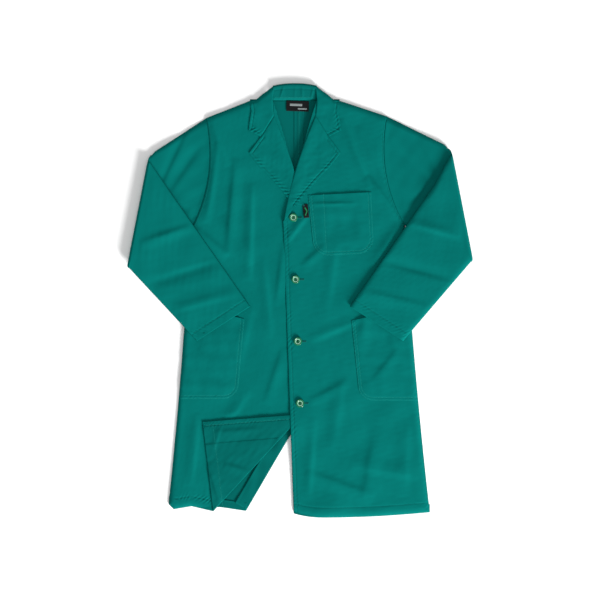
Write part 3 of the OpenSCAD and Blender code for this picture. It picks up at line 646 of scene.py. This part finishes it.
    # Forearm: the layer that was uppermost is beneath now
    fall = smooth(v3 / 0.5)[:, None]
    quiet = smooth(v3 / 0.06)[:, None]
    middle = zc + r_mid
    arm_top = (zc + r_out) * (1 - fall) + (zc + 0.0074) * fall
    arm_folds = sum(ridge(p3, a, b, w, h, k) for a, b, w, h, k in [
        (low_end + shift * 0.06 - normal * 0.02, cuff[0] * 0.45 + high_end * 0.55, 0.011, 0.0016, 0.3),
        (low_end * 0.75 + cuff[1] * 0.25, cuff[0] * 0.7 + high_end * 0.3, 0.013, -0.0014, 0.3),
        (low_end * 0.4 + cuff[1] * 0.6, cuff[0] * 0.9 + high_end * 0.1, 0.014, 0.0012, -0.3)])
    arm_folds = arm_folds + 0.0004 * ripple(p3, 51 + s, 0.05,
                                            0.13) + 0.00008 * ripple(p3, 53 + s, 0.011, 0.03, 12)
    cuff_edge = np.array([cuff[1], cuff[0]])
    arm_rim = dome(np.minimum(c, 1 - c) * 0.15, 0.012)[None, :]
    hem_rows = topstitch(p3, cuff_edge, (0.021,), 0.0006, 0.0095, 0.011)
    ze3 = middle * (1 - fall) + (zc + 0.0033) * fall
    top3 = ze3 + arm_rim * (arm_top + quiet * arm_folds - ze3) + hem_rows * quiet
    low3 = ze3 + arm_rim * (zc + r_in - ze3) - 0.00005
    inset = 0.0008 / width
    back_rows = np.array([-0.0004, 0.0012, 0.004, 0.008, 0.012]) / 0.40
    p4 = patch(np.array([cut["lower"][0], cut["inner"][0]]), cuff_edge, cut["lower"], cut["inner"],
               inset + (1 - 2 * inset) * c, 1 - np.maximum(back_rows, 0))
    share = np.array([0.35, 0.8, 1, 1, 1])[:, None]
    top4 = np.maximum(top3[-1:] - 0.0012 * share, ze3[-1:] + 0.0001)
    low4 = np.minimum(low3[-1:] + 0.0012 * share, ze3[-1:] - 0.0001)
    inner_side = slice(-2, 0, -1)
    rings = [
        np.concatenate([stand(p1, top1), stand(p1, low1)[:, inner_side]], axis=1),
        np.concatenate([round_fold(rim), round_fold(-rim)[:, inner_side]], axis=1),
        np.concatenate([stand(p3, low3), stand(p3, top3)[:, inner_side]], axis=1),
        np.concatenate([stand(p4, low4), stand(p4, top4)[:, inner_side]], axis=1),
    ]
    co = np.concatenate(rings, axis=0)
    sleeve = add_piece(f"sleeve_{n}", co, cloth, closed=True, flip=s > 0, held="",
                       nodes=(f"sleeve_upper_{n}", f"sleeve_forearm_{n}", f"forearm_under_{n}",
                              f"forearm_edges_{n}",
                              f"cuff_hem_{n}", f"armhole_seam_{n}"))
    cuff_run = unit(cuff_edge[1] - cuff_edge[0])
    inward = unit(np.array([-cuff_run[1], cuff_run[0]]))
    inward = inward * np.sign(inward @ (low_end - cuff[1]))
    CUFF[n] = cuff_edge + 0.021 * inward, grid_height(p3[-30:], top3[-30:])
    SHEETS.append((sleeve, "folded", (2 * length * 1.02, 0.62)))
    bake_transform(sleeve)


# ---------------------------------------------------------------- turned-back corner of the right front
facing_loop = plan("front_corner_facing")
facing_w = max(from_line(facing_loop, np.array([corner, edge_fold]))[0])
hem_loop = plan("front_corner_hem")
hem_w = max(from_line(hem_loop, np.array([corner, hem_fold]))[0])


def flap_height(p):
    """The turned corner lies on the front: it rises round the fold line to its level, with soft folds."""
    d = from_line(p, turn)[0]
    hem_off = from_line(p, np.array([corner, hem_fold]))[0]
    z = TURN_Z + 0.0008 * dome(d, 0.0014) + 0.0010 * smooth(hem_off / 0.14)
    z = z + 0.0003 * ripple(p, 61, 0.04, 0.12) * smooth(d / 0.02) + 0.00010 * ripple(p, 62, 0.012, 0.03)
    z = z + ridge(p, corner + 0.045 * top_dir + 0.015 * hem_dir, corner + 0.02 * top_dir + 0.07 * hem_dir,
                  0.006, 0.0008, 0.4)
    z = z + ridge(p, corner + 0.03 * hem_dir + 0.02 * top_dir, corner + 0.15 * top_dir + 0.03 * hem_dir,
                  0.010, 0.0009, 0.3)
    z = z + ridge(p, corner + 0.10 * hem_dir, hem_fold - 0.02 * hem_dir + 0.02 * top_dir, 0.008, 0.0012,
                  -0.3)
    return z + ridge(p, corner + 0.11 * hem_dir + 0.04 * top_dir, hem_fold + 0.4 * (edge_fold - hem_fold),
                     0.010, 0.0012, 0.3)


def flap_piece(name, south, north, west, east, lift, thick, nodes, size, rows):
    """One layer of the turned corner, which stays tucked in at the front edge."""
    u = np.concatenate([[0], shares(size[0], 0.0032, 0.0014, 0.004, 0.02)[1:]])
    v = np.unique(np.concatenate([[0, 0.0003, 0.0007, 0.0012, 0.0018],
                                  shares(size[1], 0.003, 0.0014, 0.006, 0.016)[1:] * size[1]])) / size[1]
    p = patch(south, north, west, east, u, v)
    z = flap_height(p) + lift * smooth(from_line(p, turn)[0] / 0.002)
    if lift:
        z = z + 0.0008 * np.exp(-((from_line(p, south)[0]
                                   / 0.0022) ** 2)) * smooth(from_line(p, turn)[0] / 0.006)
    for line, insets, depth in rows:
        z = z + topstitch(p, line, insets, depth, 0.0085, 0.009)
    piece = add_piece(name, stand(p, z), inside, thick=thick, nodes=nodes, slot="cloth_inside",
                      held="folded")
    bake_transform(piece)


near = edge_fold - 0.004 * top_dir
top_edge = np.array([corner, near])
flap_piece("front_corner_cloth", turn[::-1], top_edge, np.array([hem_fold, corner]),
           np.array([edge_fold, near]),
           0.0, CLOTH, ("front_corner",), (0.33, 0.22), [(top_edge, (0.010,), 0.0004)])
inner_w = corner + facing_w * hem_dir / abs(hem_dir @ np.array([-top_dir[1], top_dir[0]]))
inner_e = edge_fold - fold_step * facing_w / abs(fold_step @ np.array([-top_dir[1], top_dir[0]]))
facing_e = inner_e + 0.003 * unit(corner - inner_e)
flap_piece("front_corner_facing_strip", np.array([inner_w, facing_e]), top_edge,
           np.array([inner_w, corner]),
           np.array([facing_e, near]), 0.0007, 0.0005, ("front_corner_facing",), (0.24, facing_w),
           [(top_edge, (0.010,), 0.0009)])
hem_in = moved(np.array([hem_fold, inner_w]),
               -hem_w if np.cross(inner_w - hem_fold, edge_fold - hem_fold) < 0 else hem_w)
hem_in[0] = hem_fold + fold_step * hem_w / abs(fold_step @ np.array([-hem_dir[1], hem_dir[0]]))
flap_piece("front_corner_hem_strip", np.array([hem_fold, hem_in[0]]), np.array([inner_w, hem_in[1]]),
           np.array([hem_fold, inner_w]), hem_in, 0.0006, 0.0005, ("front_corner_hem",), (hem_w, 0.17),
           [(np.array([hem_fold, corner]), (0.025,), 0.0005)])

# ---------------------------------------------------------------- lapels and collar
LAPEL = {}


def lapel_height(s, p):
    """A lapel lies on its front: round the roll line, a soft rise behind it, then two plies above it."""
    d = from_line(p, roll_line[s])[0]
    z = HEIGHT[s](p) + 0.0019 + 0.0013 * np.exp(-(((d - 0.010) / 0.016) ** 2))
    z = z + 0.0003 * ripple(p, 71 + s, 0.03, 0.08) + 0.00008 * ripple(p, 73 + s, 0.010, 0.025)
    return ROLL_Z[s] + (z - ROLL_Z[s]) * dome(d, 0.0028)


for s, n in SIDES.items():
    loop, foot_loop = plan(f"lapel_{n}"), plan(f"lapel_break_{n}")
    low_end = roll_line[s][-1]
    axis_line = np.array([gorge[s], low_end])
    off = from_line(loop, axis_line)[0]
    tip = loop[off.argmax()]
    in_corner = loop[(5 * off + np.linalg.norm(loop - low_end, axis=1)).argmin()]
    foot_off = from_line(foot_loop, axis_line)[0]
    break_in = foot_loop[(5 * foot_off + np.linalg.norm(foot_loop - in_corner, axis=1)).argmin()]
    outer_up = stretch(loop, in_corner, tip, s)[1:]
    outer_low = stretch(foot_loop, foot_loop[(foot_loop @ np.array([0, 1])).argmin()], break_in, s)[:-1]
    outer = np.concatenate([outer_low, outer_up])
    outer = outer[from_line(outer, axis_line)[0] > 0.006]
    if s < 0:
        outer = np.concatenate([[outer[0] + 0.014 * unit(outer[0] - outer[2])], outer])
        roll = np.concatenate([roll_line[s], [low_end + 0.012 * unit(low_end - roll_line[s][-3])]])
    else:
        roll = roll_line[s]
        outer = outer[1:]
    seam = stretch(loop, tip, gorge[s], s)[::-1]
    u = np.unique(np.concatenate([[0, 0.0004, 0.0009, 0.0015, 0.0022, 0.003],
                                  shares(0.10, 0.003, 0.0013, 0.004, 0.016)[1:] * 0.10])) / 0.10
    p = patch(np.array([roll[-1], outer[0]]), seam, roll[::-1], outer, u,
              shares(0.27, 0.003, 0.0014, 0.0, 0.018))
    edge_line = np.concatenate([outer, [tip, seam[1]]])
    z = lapel_height(s, p) + topstitch(p, edge_line, (0.007,), 0.0009, 0.0105, 0.007)
    z = z - 0.0010 * np.exp(-((from_line(p, seam[:2])[0] / 0.0016) ** 2))
    lapel = add_piece(f"lapel_cloth_{n}", stand(p, z), cloth, thick=0.0012,
                      nodes=(f"lapel_{n}", f"lapel_break_{n}"))
    LAPEL[s] = {"grid": (p, z), "edge_line": edge_line}
    LAPEL[s]["blend"] = ((*low_end, ROLL_Z[s]), (*(low_end + 0.5 * (seam[1] - low_end)), ROLL_Z[s]))
    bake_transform(lapel)

    # The collar's fall on this side
    loop = plan(f"collar_end_{n}")
    rel = loop - np.array([neck_x, 0])
    tip = loop[(s * rel[:, 0] - 0.5 * rel[:, 1]).argmax()]
    outer_top = loop[(s * rel[:, 0] + rel[:, 1]).argmax()]
    top_cut = loop[loop[:, 1].argmax()]
    top_in = np.array([neck_x + s * 0.0515, roll_y - 0.0054])
    south = stretch(loop, gorge[s], tip, s)
    east = stretch(loop, tip, outer_top, s)
    north = np.concatenate([[top_in], stretch(loop, outer_top, top_cut, s)[::-1]])
    west = np.array([gorge[s], neck_line[s][-2] + np.array([0, -0.0015]), top_in])
    west = along(west, np.linspace(0, 1, 20))
    west[:, 0] += s * 0.0012 * np.sin(np.linspace(0, math.pi, 20))
    p = patch(south, north, west, east, u, shares(0.085, 0.0028, 0.0013, 0.014, 0.012))
    d_in, d_top = from_line(p, west)[0], from_line(p, north)[0]
    base = np.maximum(HEIGHT[s](p), 0.0035) + 0.0021
    crest = ROLL_Z[s] + 0.0016
    z = base + (crest - base) * np.exp(-((d_in / 0.032) ** 2))
    z = 0.0026 + (z - 0.0026) * dome(d_top + 0.0004, 0.013)
    z = z + 0.0003 * ripple(p, 75 + s, 0.025, 0.07) + 0.00008 * ripple(p, 77 + s, 0.010, 0.025)
    low_z = np.minimum(ROLL_Z[s], z - 0.0004)
    z = low_z + (z - low_z) * dome(d_in, 0.0028)
    edge_line = np.concatenate([[south[1]], east])
    z = z + topstitch(p, edge_line, (0.007,), 0.0009, 0.0105, 0.007)
    z = z - 0.0010 * np.exp(-((from_line(p, south[:2])[0] / 0.0016) ** 2))
    fall = add_piece(f"collar_fall_{n}", stand(p, z), cloth, thick=0.0012, nodes=(f"collar_end_{n}",))
    LAPEL[s]["fall_grid"], LAPEL[s]["fall_edge"] = (p, z), edge_line
    LAPEL[s]["fall_blend"] = ((neck_x + s * 0.07, 0.520, 0.01), (neck_x + s * 0.07, 0.470, 0.01))
    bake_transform(fall)

# The collar's stand inside the neck, round its roll and down behind
x = np.linspace(-0.0545, 0.0545, 110)
crown = roll_y - 0.0062 * (np.abs(x) / 0.0545) ** 2.4
radius = 0.0056
CREASES = [(-0.038, 0.010, 0.0030, 0.0012), (-0.027, -0.004, 0.0040, 0.0008),
           (-0.001, 0.002, 0.0030, 0.0007),
           (0.020, -0.003, 0.0036, 0.0014), (0.040, 0.006, 0.0030, 0.0013)]
v = np.linspace(0, 1, 24)[:, None]
slope_y = (neck_y - 0.003) * (1 - v) + (crown - radius)[None, :] * v
slope_z = 0.0016 + (2 * radius - 0.0016) * (0.45 * smooth(v / 0.16) + 0.55 * v)
creases = sum(h * np.exp(-(((x[None, :] - c0 - lean * v) / w) ** 2)) for c0, lean, w, h in CREASES)
slope_z = slope_z + creases * np.sin(v * math.pi) ** 1.2 - 0.0006 * np.exp(-(((v - 0.78) / 0.04) ** 2))
turn_a = np.linspace(math.pi / 2, -math.pi / 2, 18)[1:, None]
round_y = (crown - radius)[None, :] + radius * np.cos(turn_a)
round_z = radius + radius * np.sin(turn_a) + 0 * x[None, :]
y, z = np.concatenate([slope_y, round_y]), np.concatenate([slope_z + 0 * x[None, :], round_z])
stand_co = np.stack([neck_x + x[None, :] + 0 * y, y, np.maximum(z, 0.0006)], axis=-1)
add_piece("collar_stand", stand_co, inside, body="coat", nodes=("collar_back",))

# ---------------------------------------------------------------- pockets
POCKET = {}


def pocket_height(base, p, around, mouth, bulge):
    """A patch pocket on its front: flat at its stitched edges, a little full in the middle and open at
    the mouth."""
    d, m = from_line(p, around)[0], from_line(p, mouth)[0]
    z = base(p) + 0.0009 + bulge * smooth((d - 0.004)
                                          / 0.03) + 0.0009 * np.exp(-((m / 0.010) ** 2)) * smooth(d / 0.02)
    z = z + (0.0003 * ripple(p, 81, 0.03, 0.09)) * smooth(d / 0.02)
    return z + topstitch(p, around, (0.0018, 0.0082), 0.00035, 0.0085, 0.009)


loop = plan("chest_pocket")
mouth_l, mouth_r = loop[(loop @ [-1, 1]).argmax()], loop[(loop @ [1, 1]).argmax()]
low_l, low_r = loop[(loop @ [1, 1]).argmin()], loop[(loop @ [1, -1]).argmax()]
south, east = between(loop, low_l, low_r), between(loop, low_r, mouth_r)
north, west = between(loop, mouth_r, mouth_l)[::-1], between(loop, mouth_l, low_l)[::-1]
around = np.concatenate([west[::-1], south[1:], east[1:]])
p = patch(south, north, west, east, shares(0.158, 0.003, 0.0013, 0.014, 0.014),
          shares(0.153, 0.003, 0.0013, 0.014, 0.006))
z = pocket_height(left_height, p, around, north, 0.0010)
pen_top = mouth_l + 0.0385 * unit(mouth_r - mouth_l)
pen_down = unit(np.array([(mouth_r - mouth_l)[1], -(mouth_r - mouth_l)[0]]))
pen_line = np.array([pen_top - 0.001 * pen_down, pen_top + 0.148 * pen_down])
z = z + topstitch(p, pen_line, (0.0, 0.0), 0.0003, 0.0085, 0.004)
z = z + ridge(p, mouth_l + 0.022 * pen_down, mouth_l + 0.026 * pen_down + 0.12 * unit(mouth_r - mouth_l),
              0.004, 0.0008, 0.3)
add_piece("chest_pocket_cloth", stand(p, z), cloth, body="coat",
          nodes=("chest_pocket", "chest_pocket_edge"))
POCKET["chest"] = around, grid_height(p, z)
for s, n in SIDES.items():
    loop = plan(f"lower_pocket_{n}")
    q = loop * np.array([s, 1])
    in_top, out_top = loop[(q @ [-1, 1]).argmax()], loop[(q @ [1, 1]).argmax()]
    out_low, in_low = loop[(q @ [1, -1]).argmax()], loop[(q @ [1, 1]).argmin()]
    south, east = stretch(loop, in_low, out_low, s), stretch(loop, out_low, out_top, s)
    in_top = in_top + 0.018 * unit(in_low - in_top)
    west = np.concatenate([stretch(loop, in_top, in_low, s)[1:][::-1], [in_top]])
    t = np.linspace(0, 1, 30)[:, None]
    north = in_top + t * (out_top - in_top) + np.array([0, 0.006]) * np.sin(math.pi * t)
    around = np.concatenate([west[::-1], south[1:]])
    p = patch(south, north, west, east, shares(0.135, 0.003, 0.0013, 0.014, 0.010),
              shares(0.218, 0.003, 0.0013, 0.014, 0.006))
    z = pocket_height(HEIGHT[s], p, around, north, 0.0012)
    z = z + ridge(p, in_low + np.array([s * 0.02, 0.03]), out_top - np.array([s * 0.03, 0.09]), 0.012,
                  0.0009, 0.3)
    add_piece(f"lower_pocket_cloth_{n}", stand(p, z), cloth, body="coat",
              nodes=(f"lower_pocket_{n}", f"lower_pocket_{n}_edge"))
    POCKET[n] = around, grid_height(p, z)

# ---------------------------------------------------------------- labels
low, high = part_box("neck_label")
loop = np.array([[low.x, low.y], [high.x, low.y], [high.x, high.y], [low.x, high.y]])
tilt = math.radians(-2.0)
loop = (loop - loop.mean(axis=0)) @ np.array([[math.cos(tilt), math.sin(tilt)],
                                              [-math.sin(tilt), math.cos(tilt)]]) + loop.mean(axis=0)
p = patch(loop[:2], loop[[3, 2]], loop[[0, 3]], loop[1:3], shares(0.056, 0.0012), shares(0.026, 0.0012))
z = 0.0026 + 0.00015 * ripple(p, 91, 0.012, 0.04)
add_piece("neck_label_woven", stand(p, z), label_black, thick=0.0004, body="coat", nodes=("neck_label",),
          slot="label")
for k, (a, b, c0, c1) in enumerate([(0.14, 0.70, 0.52, 0.66), (0.52, 0.92, 0.20, 0.26)]):
    q = p[round(c0 * (len(p) - 1)):round(c1 * (len(p) - 1)) + 2,
          round(a * (p.shape[1] - 1)):round(b * (p.shape[1] - 1)) + 1]
    add_piece(f"neck_label_stripe_{k + 1}",
              stand(q, 0.00275 + 0 * q[..., 0] + 0.00015 * ripple(q, 91, 0.012, 0.04)), label_mark,
              thick=0.0001, body="coat", slot="label")

loop = plan("flag_label")
hinge = joints["flag_label_swing"]
hinge_at, hinge_dir = np.array(hinge["pos_m"][:2]), unit(hinge["axis"][:2])
t = (loop - hinge_at) @ hinge_dir
wide = np.array([-hinge_dir[1], hinge_dir[0]])
w = (loop - hinge_at) @ wide
grid_w, grid_t = np.meshgrid(np.linspace(0, 1, 14), np.linspace(t.min(), t.max(), 34))
p = hinge_at + grid_t[..., None] * hinge_dir + (grid_w * w[np.abs(w).argmax()])[..., None] * wide
z = left_height(p) + 0.0012 + 0.0010 * grid_w**2 + 0.0002 * np.sin(grid_t / 0.004)
add_piece("flag_label_woven", stand(p, z), label_black, thick=0.0004, body="flag_label",
          nodes=("flag_label",), slot="label")
wave_t = np.linspace(t.min() + 0.006, t.max() - 0.008, 30)[:, None]
wave_w = 0.5 + 0.16 * np.sin((wave_t - t.min()) / 0.0036) + np.linspace(-0.13, 0.13, 4)[None, :]
p = hinge_at + wave_t[..., None] * hinge_dir + (wave_w * w[np.abs(w).argmax()])[..., None] * wide
z = left_height(p) + 0.00135 + 0.0010 * wave_w**2 + 0.0002 * np.sin(wave_t / 0.004)
add_piece("flag_label_wave", stand(p, z), flag_mark, thick=0.0001, body="flag_label", slot="label")

# ---------------------------------------------------------------- buttons and buttonholes
PROFILE = np.array([(0, 0), (0.5, 0), (0.84, 0.02), (0.93, 0.14), (0.985, 0.32), (1, 0.5), (0.995, 0.66),
                    (0.96, 0.84), (0.90, 0.95),
                    (0.84, 1.0), (0.78, 0.985), (0.72, 0.90), (0.67, 0.76), (0.62, 0.66), (0.55, 0.62),
                    (0.4, 0.61), (0.2, 0.60), (0, 0.60)])


def tube(path, radius, closed, flat=1.0, sides=8):
    """A tube of a given radius about a path, flattened in height by the share flat.
    centre + radius * (cos(angle) sideways + flat * sin(angle) up), with ends that close to points."""
    step = np.gradient(path, axis=0) if not closed else np.roll(path, -1, axis=0) - np.roll(path, 1, axis=0)
    step = step / np.linalg.norm(step, axis=1)[:, None]
    side = np.stack([-step[:, 1], step[:, 0], 0 * step[:, 0]], axis=1)
    side = side / np.maximum(np.linalg.norm(side, axis=1), 1e-9)[:, None]
    angle = np.linspace(0, 2 * math.pi, sides, endpoint=False)[None, :, None]
    size = np.full(len(path), radius)
    if not closed:
        size[[0, -1]] = radius * 0.02
    up = np.array([0, 0, 1.0])[None, None]
    return path[:, None] + size[:, None, None] * (np.cos(angle) * side[:, None] + flat * np.sin(angle) * up)


for i in range(1, 5):
    low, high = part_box(f"button_{i}")
    centre = np.array([(low.x + high.x) / 2, (low.y + high.y) / 2])
    size, tall, base = (high.x - low.x) / 2, high.z - low.z, low.z - 0.0008
    t = np.linspace(0, 1, 64)
    run = run_of(PROFILE)
    rr = np.interp(t * run[-1], run, PROFILE[:, 0])[:, None] * size
    zz = np.interp(t * run[-1], run, PROFILE[:, 1])[:, None] * tall
    angle = np.linspace(0, 2 * math.pi, 72, endpoint=False)[None, :]
    xy = np.stack([rr * np.cos(angle), rr * np.sin(angle)], axis=-1)
    hole = sum(np.exp(-((np.hypot(xy[..., 0] - a, xy[..., 1] - b) / 0.00105) ** 6))
               for a in (-0.0017, 0.0017) for b in (-0.0017, 0.0017))
    zz = zz - 0.0014 * hole * (t[:, None] > 0.6)
    co = stand(centre + xy, base + zz)
    add_piece(f"button_resin_{i}", co, button_resin, closed=True, flip=False, thick=0, body=f"button_{i}",
              nodes=(f"button_{i}",), slot="button")
    # The pale ring on each button is a painted highlight: a pale torus where light glints on the button's
    # face.
    a = np.linspace(0, 2 * math.pi, 48, endpoint=False)
    path = stand(centre + 0.56 * size * np.stack([np.cos(a), np.sin(a)], axis=1),
                 base + 0.66 * tall + 0 * a)
    add_piece(f"button_ring_{i}", tube(path, 0.0008, True, 0.5)[np.r_[0:48, 0]], painted_highlight_ring, closed=True,
              flip=True, thick=0,
              body=f"button_{i}", slot="button")
    for k, b in enumerate((-0.0017, 0.0017)):
        x = np.linspace(-0.0021, 0.0021, 9)
        path = np.stack([centre[0] + x, centre[1] + b + 0 * x,
                         base + 0.64 * tall + 0.0005 * (1 - (x / 0.0021) ** 2) - 0.0002], axis=1)
        add_piece(f"button_thread_bar_{i}_{k + 1}", tube(path, 0.0006, False), thread_and_slit_shade, closed=True,
                  flip=True, thick=0,
                  body=f"button_{i}", nodes=(f"button_thread_{i}",), slot="thread")
    a = np.linspace(0, 2 * math.pi, 60, endpoint=False)
    half = 0.0102
    x = half * np.clip(1.25 * np.cos(a), -1, 1) + 0.0009 * np.cos(a)
    y = 0.0013 * np.clip(1.6 * np.sin(a), -1, 1)
    path = np.stack([centre[0] + half - 0.0005 + x, centre[1] + y], axis=1)
    path = stand(path, left_height(path) + 0.0002)
    add_piece(f"buttonhole_bead_{i}", tube(path, 0.0009, True, 0.55)[np.r_[0:60, 0]], thread, closed=True,
              flip=True, thick=0, body="coat",
              nodes=("buttonhole_stitching",) if i == 1 else (), slot="thread")
    # Painted shade: a thin dark sheet along each buttonhole slit, where the gap under the cut is in shadow.
    x, y = np.meshgrid(np.linspace(-0.0005, 2 * half - 0.0005, 24), np.linspace(-0.0009, 0.0009, 4))
    p = centre + np.stack([x, y], axis=-1)
    add_piece(f"buttonhole_painted_shade_{i}", stand(p, left_height(p) + 0.0001), thread_and_slit_shade, thick=0.0001,
              body="coat", slot="thread")

# ---------------------------------------------------------------- rows of stitches
def stitch_rows(name, rows, material, body=None, blend=None, pitch=0.0034, long=0.0026):
    """Rows of thread stitches: a small faceted bar every pitch along each line, at the height that goes
    with it."""
    ring = np.array([(0, -1), (1, 0), (0, 1), (-1, 0)]) * np.array([0.00036, 0.00022])
    bar = [(-long / 2, 0, 0)] + [(x, r * y, r * z) for x,
                                 r in ((-0.32 * long, 0.9), (0, 1.1), (0.32 * long, 0.9)) for y,
                                 z in ring] + [(long / 2, 0, 0)]
    faces = []
    for k in range(4):
        m = (k + 1) % 4
        faces += [(0, 1 + m, 1 + k, 1 + k), (13, 9 + k, 9 + m, 9 + m)]
        faces += [(1 + k, 1 + m, 5 + m, 5 + k), (5 + k, 5 + m, 9 + m, 9 + k)]
    bar, faces = np.array(bar), np.array(faces)
    points = []
    for line, height in rows:
        total = run_of(line)[-1]
        t = (np.arange(int(total / pitch)) + 0.5) * pitch / total
        c = along(line, t)
        ahead = along(line, np.minimum(t + 0.0008 / total, 1))
        ahead = ahead - along(line, np.maximum(t - 0.0008 / total, 0))
        ahead = ahead / np.linalg.norm(ahead, axis=1)[:, None]
        side = np.stack([-ahead[:, 1], ahead[:, 0]], axis=1)
        xy = c[:, None] + bar[None, :, :1] * ahead[:, None] + bar[None, :, 1:2] * side[:, None]
        points.append(stand(xy, (height(c) + 0.0001)[:, None] + bar[None, :, 2]))
    points = np.concatenate(points)
    quads = (faces[None] + 14 * np.arange(len(points))[:, None, None]).reshape(-1, 4)
    tips = quads[:, 2] == quads[:, 3]
    mesh = bpy.data.meshes.new(name)
    mesh.from_pydata(points.reshape(-1, 3).tolist(), [], quads[tips, :3].tolist() + quads[~tips].tolist())
    mesh.materials.append(material)
    piece = bpy.data.objects.new(name, mesh)
    scene.collection.objects.link(piece)
    if blend:
        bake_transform(piece)
    else:
        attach(piece, body)


def inset_line(line, d, trim=0.0):
    """A line moved sideways by d and evenly spaced, less trim at both ends."""
    total = run_of(line)[-1]
    fine = along(line, np.linspace(trim / total, 1 - trim / total, max(3, int(total / 0.004))))
    step = np.gradient(fine, axis=0)
    step = step / np.linalg.norm(step, axis=1)[:, None]
    return fine + d * np.stack([-step[:, 1], step[:, 0]], axis=1)


flap_bodies = ("coat", "front_corner", (*(edge_fold - 0.012 * fold_step), TURN_Z),
               (*(edge_fold - 0.095 * fold_step), TURN_Z))
on_coat = [
    (inset_line(front_edge[1], 0.009, 0.004), left_height),
    (inset_line(hem_line[1], 0.025, 0.006), left_height),
    (inset_line(hem_line[-1], -0.025, 0.010), right_height),
    (inset_line(side_line[1], 0.0025, 0.02), left_height),
    (inset_line(armhole[1], 0.004, 0.02), left_height),
    (inset_line(armhole[-1], -0.004, 0.02), right_height),
]
stitch_rows("stitches_fronts", on_coat, thread, body="coat")
on_pockets = [(inset_line(POCKET["chest"][0], d, 0.004), POCKET["chest"][1]) for d in (0.0018, 0.0082)]
on_pockets += [(inset_line(POCKET[n][0], s * d, 0.004), POCKET[n][1]) for s,
               n in SIDES.items() for d in (0.0018, 0.0082)]
on_pockets.append((pen_line, POCKET["chest"][1]))
stitch_rows("stitches_pockets", on_pockets, seam_thread, body="coat")
for s, n in SIDES.items():
    lapel_z = grid_height(*LAPEL[s]["grid"])
    stitch_rows(f"stitches_lapel_{n}", [(inset_line(LAPEL[s]["edge_line"], s * 0.007, 0.006), lapel_z)],
                thread,
                blend=("coat", f"{n}_lapel", *LAPEL[s]["blend"]))
    fall_z = grid_height(*LAPEL[s]["fall_grid"])
    stitch_rows(f"stitches_collar_{n}", [(inset_line(LAPEL[s]["fall_edge"], s * 0.007, 0.006), fall_z)],
                thread,
                blend=("coat", f"{n}_lapel", *LAPEL[s]["fall_blend"]))
    stitch_rows(f"stitches_cuff_{n}", [(inset_line(CUFF[n][0], 0.0, 0.004), CUFF[n][1])], thread,
                body=f"{n}_forearm")
stitch_rows("stitches_corner", [
    (inset_line(top_edge, -0.010, 0.006), lambda q: flap_height(q) + 0.0007),
    (inset_line(np.array([inner_w, inner_e]), 0.002, 0.006), lambda q: flap_height(q) + 0.0008),
    (inset_line(np.array([hem_fold, corner]), -0.025, 0.012), lambda q: flap_height(q) + 0.0006),
], seam_thread, blend=flap_bodies)
neck_row = np.array([[neck_x - 0.049, neck_y + 0.0045], [neck_x + 0.049, neck_y + 0.0045]])
back_row = np.array([[(low_seam.x + high_seam.x) / 2, 0.300],
                     [(low_seam.x + high_seam.x) / 2, neck_y - 0.032]])
stitch_rows("stitches_neck", [(neck_row, grid_height(stand_co[..., :2], stand_co[..., 2])),
                              (back_row, lambda q: 0.0023 + 0 * q[..., 0])],
            seam_thread, body="coat")

# ---------------------------------------------------------------- sheets of cloth
for piece, held, flat in SHEETS:
    declare(piece, flat)

# ---------------------------------------------------------------- camera, light and floor
camera = bpy.data.objects.new("camera", bpy.data.cameras.new("camera"))
camera.data.lens, camera.data.sensor_width = 144, 36
camera.location = (0, 0.00125, 6)
camera.data.clip_start, camera.data.clip_end = 0.1, 100
scene.collection.objects.link(camera)
scene.camera = camera

mesh = bpy.data.meshes.new("floor")
mesh.from_pydata([(-40, -40, -0.0006), (40, -40, -0.0006), (40, 40, -0.0006), (-40, 40, -0.0006)], [],
                 [(0, 1, 2, 3)])
mesh.materials.append(plain_material("floor_white", (0.97, 0.97, 0.97, 1), 0.9))
floor = bpy.data.objects.new("floor", mesh)
scene.collection.objects.link(floor)

world = bpy.data.worlds.new("studio")
world.use_nodes = True
world.node_tree.nodes["Background"].inputs["Color"].default_value = (1, 1, 1, 1)
world.node_tree.nodes["Background"].inputs["Strength"].default_value = 0.5
scene.world = world


def area_light(name, place, size, power):
    """A square soft light that faces the middle of the coat."""
    data = bpy.data.lights.new(name, "AREA")
    data.shape, data.size, data.energy = "SQUARE", size, power
    light = bpy.data.objects.new(name, data)
    light.location = place
    aim = -np.array(place) / np.linalg.norm(place)
    light.rotation_euler = (math.acos(-aim[2]), 0, math.atan2(aim[0], -aim[1]) + math.pi)
    scene.collection.objects.link(light)


area_light("hem_side_light", (1.9, -2.8, 1.25), 1.3, 90)
sun = bpy.data.objects.new("window_light", bpy.data.lights.new("window_light", "SUN"))
sun.data.energy, sun.data.angle = 5.2, 0.35
sun.rotation_euler = (math.radians(69.5), 0, math.radians(34))
scene.collection.objects.link(sun)
area_light("overhead_light", (0, 0.3, 4.5), 2.5, 30)
scene.view_settings.view_transform = "Standard"
